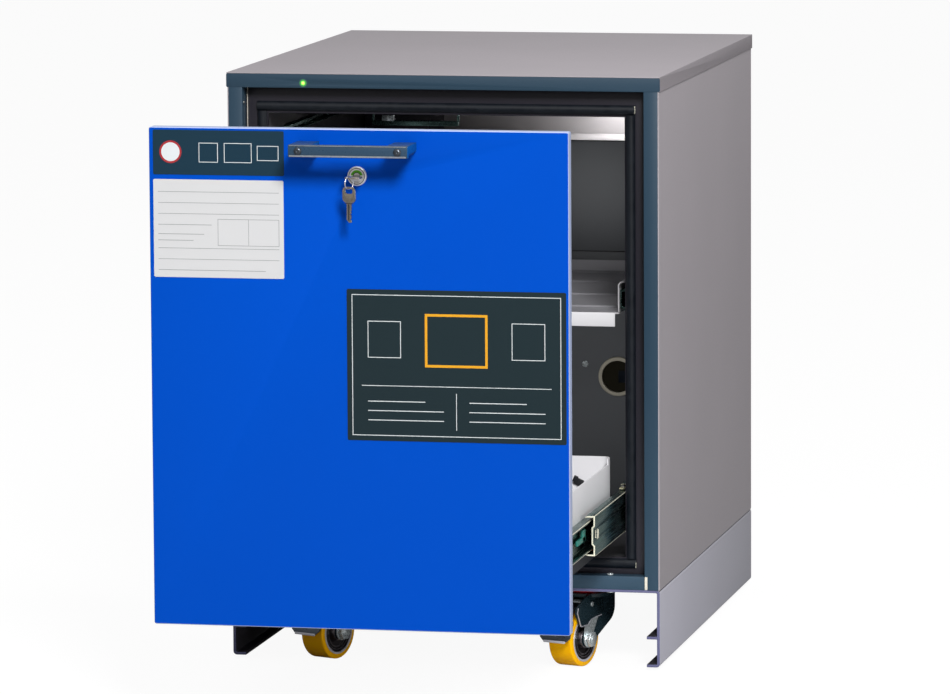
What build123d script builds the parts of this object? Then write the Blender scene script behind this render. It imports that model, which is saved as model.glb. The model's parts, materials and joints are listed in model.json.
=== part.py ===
"""Fire-resistant battery cabinet on castors, with one pull-out drawer unit, shown pulled out.

Millimetres. X is to the right, Y to the back and Z up. Inside this file the front plane of the
cabinet is Y = 0 and the floor is Z = 0. When the solids are written they are moved along Y, so
that the origin is the middle of the object's footprint.
"""
from build123d import *
import math
import os

# Cabinet body
WIDTH = 593.0
DEPTH = 750.0
HEIGHT = 800.0
CAP_HEIGHT = 20.0
CAP_OVERHANG = 1.5
CARCASS_BOTTOM = 110.0
SKIN = 1.5
POST_WIDTH = 20.5
RECESS_DEPTH = 24.0
RETURN_DEPTH = 22.0
RAIL_HEIGHT = 18.0
RAIL_SHEET = 2.0
RAIL_END_GAP = 4.0
LINER = 3.0
SIDE_WALL = 49.0
REAR_WALL = 48.5
CEILING_WALL = 54.0
FLOOR_WALL = 36.0
FIT = 0.2
SLIDE_GAP = 0.3

# Recess behind the drawer front: black frame and the seal on it
FRAME_THICKNESS = 6.0
FRAME_SIDE = 52.0
FRAME_SILL = 4.0
FRAME_HEADER = 2.0
SEAL_WIDTH = 13.0
SEAL_HEIGHT = 5.2
SEAL_INSET = 8.0
SEAL_INSET_TOP = 9.5

# Drawer front and plug
DRAWER_OUT = 505.0
FRONT_GAP_SIDE = 3.0
FRONT_GAP_BOTTOM = 5.0
FRONT_GAP_TOP = 7.5
FRONT_THICKNESS = 18.0
FRONT_EDGE_RADIUS = 1.4
PLUG_THICKNESS = 40.0
PLUG_GAP = 4.5
PLUG_CLADDING = 1.0

# Handle
HANDLE_LENGTH = 153.5
HANDLE_HEIGHT = 15.5
HANDLE_PROJECTION = 55.0
HANDLE_BAR_THICKNESS = 9.0
HANDLE_LEG_WIDTH = 28.0
HANDLE_CROWN = 1.2
HANDLE_LEG_CHAMFER = 5.0
HANDLE_SCREW_SPACING = 128.0
HANDLE_SCREW_HEAD = 10.0
HANDLE_SCREW_RISE = 2.6
HANDLE_SCREW_SOCKET = 1.6
HANDLE_DROP = 23.2

# Lock, key, ring and spare key
LOCK_DROP = 58.9
ROSETTE_DIAMETER = 25.0
ROSETTE_HEIGHT = 3.5
BARREL_DIAMETER = 20.0
BARREL_LENGTH = 34.0
CYLINDER_DIAMETER = 15.0
CYLINDER_LENGTH = 26.0
TURN_CLEARANCE = 0.05
KEY_THICKNESS = 2.0
KEY_BOW_WIDTH = 21.0
KEY_BOW_LENGTH = 20.0
KEY_BOW_HOLE = 6.4
KEY_BOW_RIM = 2.2
KEY_SHANK_LENGTH = 9.0
KEY_BLADE_LENGTH = 25.0
KEY_BLADE_WIDTH = 7.5
RING_RADIUS = 8.0
RING_WIRE = 1.5
RING_PLAY = 0.3
RING_X = -3.5
RING_TURN = 28.0

# Sump tray on the drawer
SUMP_WALL = 2.0
SUMP_SIDE_GAP = 23.0
SUMP_REAR_GAP = 58.8
SUMP_RISE = 22.0
SUMP_HEIGHT = 109.0
SUMP_REAR_HEIGHT = 117.0
SUMP_CORNER_RADIUS = 12.0

# Telescopic ball runners
RUNNER_START = 67.0
RUNNER_REAR_GAP = 33.0
RUNNER_RISE = 43.0
RUNNER_SHEET = 2.0
OUTER_RUNNER_HEIGHT = 66.0
MIDDLE_RUNNER_HEIGHT = 53.0
INNER_RUNNER_HEIGHT = 39.5
RUNNER_DEPTH = 17.0
RUNNER_STEP = 2.6
OUTER_RUNNER_STEP = 0.8
MIDDLE_RUNNER_OFFSET = 3.4
OUTER_CAGE_START = 300.0
INNER_CAGE_START = 90.0
INNER_RUNNER_SHORTER = 30.0
INNER_RUNNER_DEPTH = 12.0
BALL_CLEARANCE = 0.05
OUTER_BALL_SETBACK = 2.5
INNER_BALL_SETBACK = 1.0
BALL_PITCH = 20.0
BALLS_PER_RACE = 3
CAGE_LENGTH = 68.0
CAGE_WIDTH = 7.0
CAGE_THICKNESS = 1.2

# Pull-out tray on its own rails
TRAY_START = 75.0
TRAY_REAR_GAP = 33.0
TRAY_SIDE_GAP = 20.0
TRAY_SHEET = 2.0
SPACE_ABOVE_TRAY = 271.0
TRAY_LIP_HEIGHT = 19.0
TRAY_FLANGE_HEIGHT = 41.0
TRAY_FLANGE_TURN = 8.0
TRAY_FLANGE_SETBACK = 6.0
TRAY_FRONT_BEADS = (65.0, 202.0)
TRAY_REAR_BEADS = (27.0, 143.0)
TRAY_BEAD_HEIGHT = 2.0
TRAY_BEAD_WIDTH = 9.0
TRAY_RAIL_HEIGHT = 30.0
TRAY_RAIL_DEPTH = 13.0
TRAY_RAIL_RISE = 17.0
TRAY_RAIL_SHORTER = 12.0
TRAY_SLIDE_DEPTH = 14.0

# Ventilation duct and covers at the back of the inside
DUCT_DEPTH = 98.0
DUCT_SIDE_GAP = 3.0
DUCT_DROP = 88.0
DUCT_SHEET = 1.5
COVER_SHEET = 2.0
COVER_SEAM_RISE = 23.0
COVER_SEAM_GAP = 1.2
FAN_BOX_WIDTH = 95.5
FAN_BOX_SETBACK = 2.0
FAN_BOX_GAP = 2.0
VENT_INSET = 116.0
VENT_RISE = 173.0
VENT_BORE = 46.0
VENT_RING = 57.0
VENT_RING_HEIGHT = 6.0
COVER_SCREW = 9.0
RAIL_SCREW_INSET = 48.5

# Socket strip on the upper cover
STRIP_LENGTH = 260.0
STRIP_HEIGHT = 46.0
STRIP_DEPTH = 40.0
STRIP_INSET = 23.0
STRIP_DROP = 73.0
SOCKET_DIAMETER = 37.0
SOCKET_DEPTH = 14.0
SOCKETS = 5

# Mobile base
BASE_SHEET = 4.0
SKIRT_BOTTOM = 5.0
SKIRT_FLANGE = 18.0
SKIRT_RIB_Z = 45.0
SKIRT_RIB_WIDTH = 14.0
BASE_BEND_RADIUS = 5.0

# Castors
WHEEL_DIAMETER = 75.0
TREAD_WIDTH = 35.0
TREAD_THICKNESS = 6.5
TREAD_RADIUS = 2.0
HUB_WIDTH = 38.0
HUB_RIM = 3.0
HUB_BOSS_DIAMETER = 27.0
HUB_RECESS = 9.0
AXLE_DIAMETER = 12.0
BEARING_CLEARANCE = 0.05
NUT_ACROSS_FLATS = 19.0
NUT_HEIGHT = 8.5
NUT_RISE = 1.5
TRAIL = 38.0
FRONT_CASTOR_Y = 66.0
RIGHT_CASTOR_INSET = 111.0
LEFT_CASTOR_INSET = 141.0
RIGHT_CASTOR_TURN = 19.0
LEFT_CASTOR_TURN = 23.6
REAR_CASTOR_SIDE_INSET = 97.0
REAR_CASTOR_INSET = 90.0
PLATE_LENGTH = 95.0
PLATE_WIDTH = 85.0
PLATE_THICKNESS = 3.0
RACE_DIAMETER = 50.0
RACE_HEIGHT = 5.0
DUST_RING_WIDTH = 5.5
DUST_RING_HEIGHT = 4.6
KINGPIN_DIAMETER = 12.0
FORK_SHEET = 3.0
FORK_TOP_THICKNESS = 5.0
FORK_HEAD_RADIUS = 36.0
FORK_SHOULDER_RADIUS = 22.0
FORK_AXLE_RADIUS = 11.0
FORK_GUARD = ((-66.0, 84.0), (-68.8, 76.0), (-58.6, 57.0), (-40.6, 57.0))
FIXED_FORK_BACK = 16.0
FIXED_FORK_AXLE_RADIUS = 13.0
PEDAL_SHEET = 2.5
PEDAL_WIDTH = 47.0
PEDAL_ARM_WIDTH = 30.0
PEDAL_PIN_DIAMETER = 6.0
PEDAL_PIN_FORWARD = 29.0
PEDAL_PIN_Z = 84.0
PEDAL_CORNER = 8.0
BOLT_DIAMETER = 8.0
BOLT_HEAD = 13.0
BOLT_HEAD_HEIGHT = 2.5
BOLT_SPACING_X = 76.0
BOLT_SPACING_Y = 62.0

# Small fittings
LED_DIAMETER = 4.0
LED_INSET = 105.0
LED_DROP = 13.4
SPIGOT_DIAMETER = 75.0
SPIGOT_WALL = 1.5
SPIGOT_SPACING = 200.0
SPIGOT_DROP = 58.0
INLET_WIDTH = 48.0
INLET_HEIGHT = 28.0
INLET_DEPTH = 22.0
INLET_DROP = 95.0

# Sizes that follow from the ones above
SIDE_X = WIDTH / 2 - CAP_OVERHANG
POST_INNER_X = SIDE_X - POST_WIDTH
BACK_Y = DEPTH - CAP_OVERHANG
CAP_UNDERSIDE = HEIGHT - CAP_HEIGHT
INNER_X = SIDE_X - SIDE_WALL
INNER_BACK_Y = BACK_Y - REAR_WALL
INNER_FLOOR_Z = CARCASS_BOTTOM + FLOOR_WALL
INNER_CEILING_Z = HEIGHT - CEILING_WALL
FRAME_BACK_Y = RECESS_DEPTH + FRAME_THICKNESS
RAIL_TOP_Z = CARCASS_BOTTOM + RAIL_HEIGHT
FRONT_HALF_WIDTH = POST_INNER_X - FRONT_GAP_SIDE
FRONT_BOTTOM_Z = RAIL_TOP_Z + FRONT_GAP_BOTTOM
FRONT_TOP_Z = CAP_UNDERSIDE - FRONT_GAP_TOP
HANDLE_Z = FRONT_TOP_Z - HANDLE_DROP
LOCK_Z = FRONT_TOP_Z - LOCK_DROP
FRAME_OPENING_WIDTH = WIDTH - 2 * FRAME_SIDE
FRAME_OPENING_BOTTOM = INNER_FLOOR_Z + FRAME_SILL
FRAME_OPENING_TOP = INNER_CEILING_Z - FRAME_HEADER
SEAL_HALF_WIDTH = FRAME_OPENING_WIDTH / 2 + SEAL_INSET
SEAL_BOTTOM = FRAME_OPENING_BOTTOM - SEAL_INSET
SEAL_TOP = FRAME_OPENING_TOP + SEAL_INSET_TOP
PLUG_HALF_WIDTH = FRAME_OPENING_WIDTH / 2 - PLUG_GAP
PLUG_BACK_Y = FRONT_THICKNESS + PLUG_THICKNESS
DUCT_FRONT_Y = INNER_BACK_Y - DUCT_DEPTH
COVER_FRONT_Y = DUCT_FRONT_Y - COVER_SHEET
DUCT_HALF_WIDTH = INNER_X - DUCT_SIDE_GAP
DUCT_TOP_Z = INNER_CEILING_Z - DUCT_DROP
SPIGOT_Z = DUCT_TOP_Z - SPIGOT_DROP
STRIP_X = -DUCT_HALF_WIDTH + STRIP_INSET + STRIP_LENGTH / 2
STRIP_Z = DUCT_TOP_Z - STRIP_DROP
VENT_X = DUCT_HALF_WIDTH - VENT_INSET
VENT_Z = INNER_FLOOR_Z + VENT_RISE
SUMP_HALF_WIDTH = INNER_X - SUMP_SIDE_GAP
SUMP_LENGTH = COVER_FRONT_Y - SUMP_REAR_GAP - PLUG_BACK_Y - FIT
SUMP_FLOOR_Z = INNER_FLOOR_Z + SUMP_RISE
SUMP_RIM_Z = SUMP_FLOOR_Z + SUMP_HEIGHT
SUMP_REAR_RIM_Z = SUMP_FLOOR_Z + SUMP_REAR_HEIGHT
RUNNER_LENGTH = COVER_FRONT_Y - RUNNER_REAR_GAP - RUNNER_START
INNER_RUNNER_LENGTH = RUNNER_LENGTH - INNER_RUNNER_SHORTER
RUNNER_Z = SUMP_FLOOR_Z + RUNNER_RISE
TRAY_LENGTH = COVER_FRONT_Y - TRAY_REAR_GAP - TRAY_START
TRAY_HALF_WIDTH = INNER_X - TRAY_SIDE_GAP
TRAY_FLOOR_Z = INNER_CEILING_Z - SPACE_ABOVE_TRAY
TRAY_RAIL_Z = TRAY_FLOOR_Z + TRAY_RAIL_RISE
TRAY_RAIL_LENGTH = TRAY_LENGTH - TRAY_RAIL_SHORTER
COVER_SEAM_Z = TRAY_FLOOR_Z + COVER_SEAM_RISE
LED_X = LED_INSET - SIDE_X
LED_Z = HEIGHT - LED_DROP
INLET_Z = HEIGHT - INLET_DROP
BASE_UNDERSIDE = CARCASS_BOTTOM - BASE_SHEET
WHEEL_RADIUS = WHEEL_DIAMETER / 2
PLATE_UNDERSIDE = BASE_UNDERSIDE - PLATE_THICKNESS
RACE_UNDERSIDE = PLATE_UNDERSIDE - RACE_HEIGHT
FORK_TOP = RACE_UNDERSIDE - SLIDE_GAP
FORK_INNER_X = HUB_WIDTH / 2 + SLIDE_GAP
FORK_OUTER_X = FORK_INNER_X + FORK_SHEET
RIGHT_CASTOR_X = SIDE_X - RIGHT_CASTOR_INSET
LEFT_CASTOR_X = LEFT_CASTOR_INSET - SIDE_X
REAR_CASTOR_X = SIDE_X - REAR_CASTOR_SIDE_INSET
REAR_CASTOR_Y = BACK_Y - REAR_CASTOR_INSET
KEY_BOW_START = ROSETTE_HEIGHT + KEY_SHANK_LENGTH
MIDDLE_Y = (DEPTH - DRAWER_OUT - HANDLE_PROJECTION - HANDLE_SCREW_RISE) / 2
OUT = Pos(0, -DRAWER_OUT, 0)
HALF_OUT = Pos(0, -DRAWER_OUT / 2, 0)


def block(x0, x1, y0, y1, z0, z1):
    """Box between two corners."""
    size = (abs(x1 - x0), abs(y1 - y0), abs(z1 - z0))
    return Pos(min(x0, x1), min(y0, y1), min(z0, z1)) * Box(*size, align=(Align.MIN,) * 3)


def mirrored(shape):
    """The same shape on the left side."""
    return mirror(shape, about=Plane.YZ)


def rod(radius, y0, y1, x=0.0, z=0.0):
    """Cylinder along Y."""
    return Pos(x, (y0 + y1) / 2, z) * Rot(90, 0, 0) * Cylinder(radius, abs(y1 - y0))


def shaft(radius, x0, x1, y=0.0, z=0.0):
    """Cylinder along X."""
    return Pos((x0 + x1) / 2, y, z) * Rot(0, 90, 0) * Cylinder(radius, abs(x1 - x0))


def folded(points, sheet):
    """Face of a folded sheet whose middle line runs through the points."""
    def offset_line(distance):
        line = []
        for i, point in enumerate(points):
            before = points[max(i - 1, 0)]
            after = points[min(i + 1, len(points) - 1)]
            normals = []
            for a, b in ((before, point), (point, after)):
                length = math.dist(a, b)
                if length > 0:
                    normals.append(((a[1] - b[1]) / length, (b[0] - a[0]) / length))
            mean = (sum(n[0] for n in normals) / len(normals), sum(n[1] for n in normals) / len(normals))
            scale = distance / (mean[0] ** 2 + mean[1] ** 2)
            line.append((point[0] + mean[0] * scale, point[1] + mean[1] * scale))
        return line
    outline = offset_line(sheet / 2) + offset_line(-sheet / 2)[::-1]
    return make_face(Polyline(*outline, close=True))


def along_y(face, y0, y1):
    """Extrude a face drawn in X and Z from y0 to y1."""
    return extrude(Plane.XZ.offset(-y1) * face, amount=y1 - y0)


def along_x(face, x0, x1):
    """Extrude a face drawn in Y and Z from x0 to x1."""
    return extrude(Plane.YZ.offset(x0) * face, amount=x1 - x0)


def along_z(face, z0, z1):
    """Extrude a face drawn in X and Y from z0 to z1."""
    return extrude(Plane.XY.offset(z0) * face, amount=z1 - z0)


def group(*shapes):
    """Several separate solids in one node."""
    solids = []
    for shape in shapes:
        solids.extend(shape.solids())
    return Compound(solids)


# Cabinet shell

def top_cover():
    half = WIDTH / 2
    tray = block(-half, half, 0, DEPTH, CAP_UNDERSIDE, HEIGHT)
    tray = fillet(tray.edges().filter_by(Axis.Z).group_by(Axis.Y)[-1], 1.4)
    inside = block(-SIDE_X, SIDE_X, -1, BACK_Y, CAP_UNDERSIDE - 1, HEIGHT - SKIN)
    rail_seat = block(-half - 1, half + 1, -1, RAIL_SHEET, CAP_UNDERSIDE - 1, HEIGHT - SKIN)
    return tray - inside - rail_seat


def front_top_rail():
    half = WIDTH / 2
    web = block(-half, half, 0, RAIL_SHEET, CAP_UNDERSIDE, HEIGHT - SKIN)
    web = fillet(web.edges().filter_by(Axis.Y), 1.9)
    hem = block(-POST_INNER_X, POST_INNER_X, RAIL_SHEET, RETURN_DEPTH, CAP_UNDERSIDE, CAP_UNDERSIDE + SKIN)
    led_hole = rod(LED_DIAMETER / 2 + TURN_CLEARANCE, -1, 3, LED_X, LED_Z)
    return web + hem - led_hole


def side_panel():
    sheet = block(SIDE_X - SKIN, SIDE_X, 0, BACK_Y, CARCASS_BOTTOM, HEIGHT - 2 * SKIN)
    outer = sheet.edges().filter_by(Axis.Z).group_by(Axis.X)[-1]
    sheet = fillet(outer, SKIN * 0.9)
    return sheet - block(0, SIDE_X + 1, -1, RAIL_SHEET, CAP_UNDERSIDE, HEIGHT)


def rear_panel():
    half = SIDE_X - SKIN
    sheet = block(-half, half, BACK_Y - SKIN, BACK_Y, CARCASS_BOTTOM, HEIGHT - 2 * SKIN)
    for x in (-SPIGOT_SPACING / 2, SPIGOT_SPACING / 2):
        sheet = sheet - rod(SPIGOT_DIAMETER / 2, BACK_Y - 10, BACK_Y + 10, x, SPIGOT_Z)
    return sheet - inlet_hole()


def inlet_hole():
    """Pocket for the mains inlet in the rear panel and the board behind it."""
    return block(-INLET_WIDTH / 2, INLET_WIDTH / 2, BACK_Y - INLET_DEPTH, BACK_Y + 10,
                 INLET_Z - INLET_HEIGHT / 2, INLET_Z + INLET_HEIGHT / 2)


def front_post():
    x0 = POST_INNER_X + SKIN / 2
    x1 = SIDE_X - SKIN * 1.5
    profile = folded([(x0, RETURN_DEPTH), (x0, SKIN / 2), (x1, SKIN / 2), (x1, RETURN_DEPTH)], SKIN)
    post = along_z(profile, CARCASS_BOTTOM, CAP_UNDERSIDE)
    notch = block(POST_INNER_X - 1, POST_INNER_X + RAIL_END_GAP, -1, RETURN_DEPTH + 1,
                  CARCASS_BOTTOM - 1, RAIL_TOP_Z)
    return post - notch


def front_bottom_rail():
    y0 = 0.5 + SKIN / 2
    z0 = CARCASS_BOTTOM + SKIN / 2
    z1 = RAIL_TOP_Z - SKIN / 2
    profile = folded([(RETURN_DEPTH, z0), (y0, z0), (y0, z1), (RETURN_DEPTH, z1)], SKIN)
    return along_x(profile, -POST_INNER_X + FIT, POST_INNER_X - FIT)


def fire_boards():
    """Mineral boards between the outer steel and the inner lining, with their front tongues."""
    half = SIDE_X - SKIN
    back = BACK_Y - SKIN
    inner = INNER_X + LINER
    low = INNER_FLOOR_Z - LINER
    high = INNER_CEILING_Z + LINER
    bottom = block(-half, half, FRAME_BACK_Y, back, CARCASS_BOTTOM, low)
    top = block(-half, half, FRAME_BACK_Y, back, high, HEIGHT - 2 * SKIN)
    rear = block(-inner, inner, INNER_BACK_Y + LINER, back, low, high)
    for x in (-SPIGOT_SPACING / 2, SPIGOT_SPACING / 2):
        rear = rear - rod(SPIGOT_DIAMETER / 2, INNER_BACK_Y, back + 1, x, SPIGOT_Z)
    side = block(inner, half, FRAME_BACK_Y, back, low, high)
    tongue = block(POST_INNER_X + SKIN, half - SKIN, SKIN, FRAME_BACK_Y, low, high)
    side = side + tongue
    rail_end = block(POST_INNER_X, POST_INNER_X + RAIL_END_GAP - FIT, 1.0, RETURN_DEPTH,
                     CARCASS_BOTTOM + FIT, RAIL_TOP_Z - FIT)
    rear = rear - inlet_hole()
    return group(bottom, top, rear, side, mirrored(side), rail_end, mirrored(rail_end))


def liner_side():
    return block(INNER_X, INNER_X + LINER, FRAME_BACK_Y, INNER_BACK_Y, INNER_FLOOR_Z, INNER_CEILING_Z)


def liner_level(z0):
    half = INNER_X + LINER
    return block(-half, half, FRAME_BACK_Y, INNER_BACK_Y, z0, z0 + LINER)


def liner_rear():
    panel = block(-INNER_X - LINER, INNER_X + LINER, INNER_BACK_Y, INNER_BACK_Y + LINER,
                  INNER_FLOOR_Z - LINER, INNER_CEILING_Z + LINER)
    for x in (-SPIGOT_SPACING / 2, SPIGOT_SPACING / 2):
        panel = panel - rod(SPIGOT_DIAMETER / 2, INNER_BACK_Y - 5, INNER_BACK_Y + 10, x, SPIGOT_Z)
    return panel


def recess_frame():
    """Black frame round the opening, set back behind the posts."""
    outer_x = POST_INNER_X + SKIN
    plate = block(-outer_x, outer_x, RECESS_DEPTH, FRAME_BACK_Y, CARCASS_BOTTOM + SKIN, CAP_UNDERSIDE)
    hole = block(-FRAME_OPENING_WIDTH / 2, FRAME_OPENING_WIDTH / 2, RECESS_DEPTH - 1, FRAME_BACK_Y + 1,
                 FRAME_OPENING_BOTTOM, FRAME_OPENING_TOP)
    return plate - hole


def seal_profile():
    """D section: flat at the back, round in front, with a small step on each side."""
    half = SEAL_WIDTH / 2
    foot = SEAL_HEIGHT * 0.3
    lines = [Line((-half, 0), (-half, foot)), Line((half, foot), (half, 0)), Line((half, 0), (-half, 0))]
    dome = ThreePointArc((-half, foot), (0, SEAL_HEIGHT), (half, foot))
    return make_face([lines[0], dome, lines[1], lines[2]])


def door_seal():
    """Four lengths of rubber seal: top and bottom run through, the sides stand between them."""
    half = SEAL_WIDTH / 2
    length = 2 * (SEAL_HALF_WIDTH + half)
    level = extrude(Plane(origin=(-length / 2, RECESS_DEPTH, 0), x_dir=(0, 0, 1), z_dir=(1, 0, 0))
                    * seal_profile(), amount=length)
    low = SEAL_BOTTOM + half + FIT
    high = SEAL_TOP - half - FIT
    upright = extrude(Plane(origin=(0, RECESS_DEPTH, low), x_dir=(-1, 0, 0), z_dir=(0, 0, 1))
                      * seal_profile(), amount=high - low)
    return group(Pos(0, 0, SEAL_BOTTOM) * level, Pos(0, 0, SEAL_TOP) * level,
                 Pos(SEAL_HALF_WIDTH, 0, 0) * upright, Pos(-SEAL_HALF_WIDTH, 0, 0) * upright)


def status_led():
    radius = LED_DIAMETER / 2
    return rod(radius, 0, 4.0, LED_X, LED_Z) + Pos(LED_X, 0, LED_Z) * Sphere(radius)


def air_spigots():
    """Two round stubs through the back wall, for the exhaust air."""
    stubs = []
    radius = SPIGOT_DIAMETER / 2
    for x in (-SPIGOT_SPACING / 2, SPIGOT_SPACING / 2):
        tube = rod(radius, INNER_BACK_Y, DEPTH, x, SPIGOT_Z)
        stubs.append(tube - rod(radius - SPIGOT_WALL, INNER_BACK_Y - 1, DEPTH + 1, x, SPIGOT_Z))
    return group(*stubs)


def mains_inlet():
    """Flush inlet with a hollow for the plug and three flat pins."""
    half = INLET_WIDTH / 2
    high = INLET_HEIGHT / 2
    body = block(-half, half, BACK_Y - INLET_DEPTH, BACK_Y, INLET_Z - high, INLET_Z + high)
    hollow = block(-12.5, 12.5, BACK_Y - 17.0, BACK_Y + 1, INLET_Z - 8.5, INLET_Z + 8.5)
    hollow = chamfer(hollow.edges().filter_by(Axis.Y).group_by(Axis.Z)[-1], 4.0)
    pins = []
    for x, z in ((-7.0, -2.0), (0.0, 2.0), (7.0, -2.0)):
        pins.append(block(x - 1, x + 1, BACK_Y - 17.0, BACK_Y - 3, INLET_Z + z - 2.0, INLET_Z + z + 2.0))
    return group(body - hollow, *pins)


# Inside the cabinet

def air_duct():
    x = DUCT_HALF_WIDTH
    box = block(-x, x, DUCT_FRONT_Y, INNER_BACK_Y - FIT, INNER_FLOOR_Z, DUCT_TOP_Z)
    hollow = block(-x + DUCT_SHEET, x - DUCT_SHEET, DUCT_FRONT_Y + DUCT_SHEET, INNER_BACK_Y + 1,
                   INNER_FLOOR_Z - 1, DUCT_TOP_Z - DUCT_SHEET)
    return box - hollow - rod(VENT_BORE / 2, DUCT_FRONT_Y - 5, DUCT_FRONT_Y + 10, VENT_X, VENT_Z)


def fan_box():
    """Black sheet box of the exhaust fan, open below, on the left end of the duct."""
    x0 = -DUCT_HALF_WIDTH
    x1 = x0 + FAN_BOX_WIDTH
    y0 = DUCT_FRONT_Y + FAN_BOX_SETBACK
    y1 = INNER_BACK_Y - FIT
    top = INNER_CEILING_Z - FAN_BOX_GAP
    t = DUCT_SHEET
    box = block(x0, x1, y0, y1, DUCT_TOP_Z, top)
    return box - block(x0 + t, x1 - t, y0 + t, y1 - t, DUCT_TOP_Z - 1, top - t)


def rear_cover_upper():
    return block(-DUCT_HALF_WIDTH, DUCT_HALF_WIDTH, COVER_FRONT_Y, DUCT_FRONT_Y,
                 COVER_SEAM_Z + COVER_SEAM_GAP, DUCT_TOP_Z - 2.0)


def rear_cover_lower():
    plate = block(-DUCT_HALF_WIDTH, DUCT_HALF_WIDTH, COVER_FRONT_Y, DUCT_FRONT_Y,
                  INNER_FLOOR_Z + 1.0, COVER_SEAM_Z)
    return plate - rod(VENT_RING / 2, COVER_FRONT_Y - 5, DUCT_FRONT_Y + 1, VENT_X, VENT_Z)


def vent_collar():
    radius = VENT_RING / 2
    collar = rod(radius - FIT, COVER_FRONT_Y - VENT_RING_HEIGHT, DUCT_FRONT_Y, VENT_X, VENT_Z)
    front = collar.edges().filter_by(GeomType.CIRCLE).group_by(Axis.Y)[0]
    collar = fillet(front, 2.0)
    return collar - rod(VENT_BORE / 2, COVER_FRONT_Y - 20, DUCT_FRONT_Y + 5, VENT_X, VENT_Z)


def cover_screws():
    """Pan-head screws of the rear covers and of the bottom rail."""
    heads = []
    inset = 14.0
    x = DUCT_HALF_WIDTH - inset
    for z in (INNER_FLOOR_Z + inset, COVER_SEAM_Z - inset, COVER_SEAM_Z + COVER_SEAM_GAP + inset,
              DUCT_TOP_Z - 2 * inset):
        for side in (-x, x):
            heads.append(rod(COVER_SCREW / 2, COVER_FRONT_Y - 2.2, COVER_FRONT_Y, side, z))
    heads.append(rod(COVER_SCREW / 2, COVER_FRONT_Y - 2.2, COVER_FRONT_Y, VENT_X - 48.0, VENT_Z + 17.0))
    rail_x = POST_INNER_X - RAIL_SCREW_INSET
    for side in (-rail_x, rail_x):
        heads.append(Pos(side, 10.0, RAIL_TOP_Z + 1.1) * Cylinder(COVER_SCREW / 2, 2.2))
    return group(*heads)


def socket_strip():
    """Strip of mains sockets on the upper cover, each a round recess with two pin holes."""
    x0 = STRIP_X - STRIP_LENGTH / 2
    body = block(x0, x0 + STRIP_LENGTH, COVER_FRONT_Y - STRIP_DEPTH, COVER_FRONT_Y,
                 STRIP_Z - STRIP_HEIGHT / 2, STRIP_Z + STRIP_HEIGHT / 2)
    body = fillet(body.edges().filter_by(Axis.X).group_by(Axis.Y)[0], 5.0)
    pitch = STRIP_LENGTH / SOCKETS
    face = COVER_FRONT_Y - STRIP_DEPTH
    for i in range(SOCKETS):
        x = x0 + pitch * (i + 0.5)
        body = body - rod(SOCKET_DIAMETER / 2, face - 1, face + SOCKET_DEPTH, x, STRIP_Z)
        for dx in (-9.5, 9.5):
            body = body - rod(2.4, face, face + SOCKET_DEPTH + 12.0, x + dx, STRIP_Z)
    return body


# Mobile base

def base_chassis():
    """One folded sheet: the deck under the cabinet and a skirt down each side, with stiffeners."""
    half = SIDE_X - BASE_SHEET / 2
    deck = CARCASS_BOTTOM - BASE_SHEET / 2
    low = SKIRT_BOTTOM + BASE_SHEET / 2
    tip = SIDE_X - SKIRT_FLANGE
    line = [(tip, low), (half, low), (half, deck), (-half, deck), (-half, low), (-tip, low)]
    face = folded(line, BASE_SHEET)
    corners = [v for v in face.vertices() if abs(abs(v.X) - SIDE_X) < 0.01]
    inner = [v for v in face.vertices() if abs(abs(v.X) - SIDE_X + BASE_SHEET) < 0.01]
    face = fillet(corners, BASE_BEND_RADIUS)
    inner_points = [(v.X, v.Y) for v in inner]
    inner = [v for v in face.vertices()
             if any(math.dist((v.X, v.Y), p) < 0.01 for p in inner_points)]
    face = fillet(inner, BASE_BEND_RADIUS - BASE_SHEET)
    chassis = along_y(face, CAP_OVERHANG, BACK_Y)
    rib_x = SIDE_X - BASE_SHEET
    rib = block(rib_x - SKIRT_RIB_WIDTH, rib_x + 1, CAP_OVERHANG, BACK_Y,
                SKIRT_RIB_Z - BASE_SHEET / 2, SKIRT_RIB_Z + BASE_SHEET / 2)
    rib = rib & block(0, rib_x, 0, DEPTH, 0, HEIGHT)
    return chassis + rib + mirrored(rib)


# Castors, drawn with the swivel axis at the origin and the wheel in front of it

def wheel_tread():
    outer = WHEEL_RADIUS
    half = TREAD_WIDTH / 2
    band = shaft(outer, -half, half)
    band = fillet(band.edges().filter_by(GeomType.CIRCLE), TREAD_RADIUS)
    return band - shaft(outer - TREAD_THICKNESS, -half - 1, half + 1)


def wheel_hub():
    """Cast hub: rim, recessed disc and bored boss, turned about the axle."""
    rim = WHEEL_RADIUS - TREAD_THICKNESS
    half = TREAD_WIDTH / 2
    web = half - HUB_RECESS
    boss = HUB_BOSS_DIAMETER / 2
    bore = AXLE_DIAMETER / 2 + BEARING_CLEARANCE
    side = [(rim, half), (rim - HUB_RIM, half), (rim - HUB_RIM - 1.5, web + 1.5), (boss + 3, web),
            (boss, web + 1.5), (boss - 1.5, HUB_WIDTH / 2), (bore, HUB_WIDTH / 2)]
    outline = side + [(r, -x) for r, x in side[::-1]]
    face = make_face(Polyline(*outline, close=True))
    turned = revolve(Plane.XY * face, Axis.Y, 360)
    return Rot(0, 0, 90) * turned


def hexagon_nut(x0, x1):
    face = RegularPolygon(NUT_ACROSS_FLATS / 2, 6, major_radius=False)
    return extrude(Plane.YZ.offset(x0) * face, amount=x1 - x0)


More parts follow.
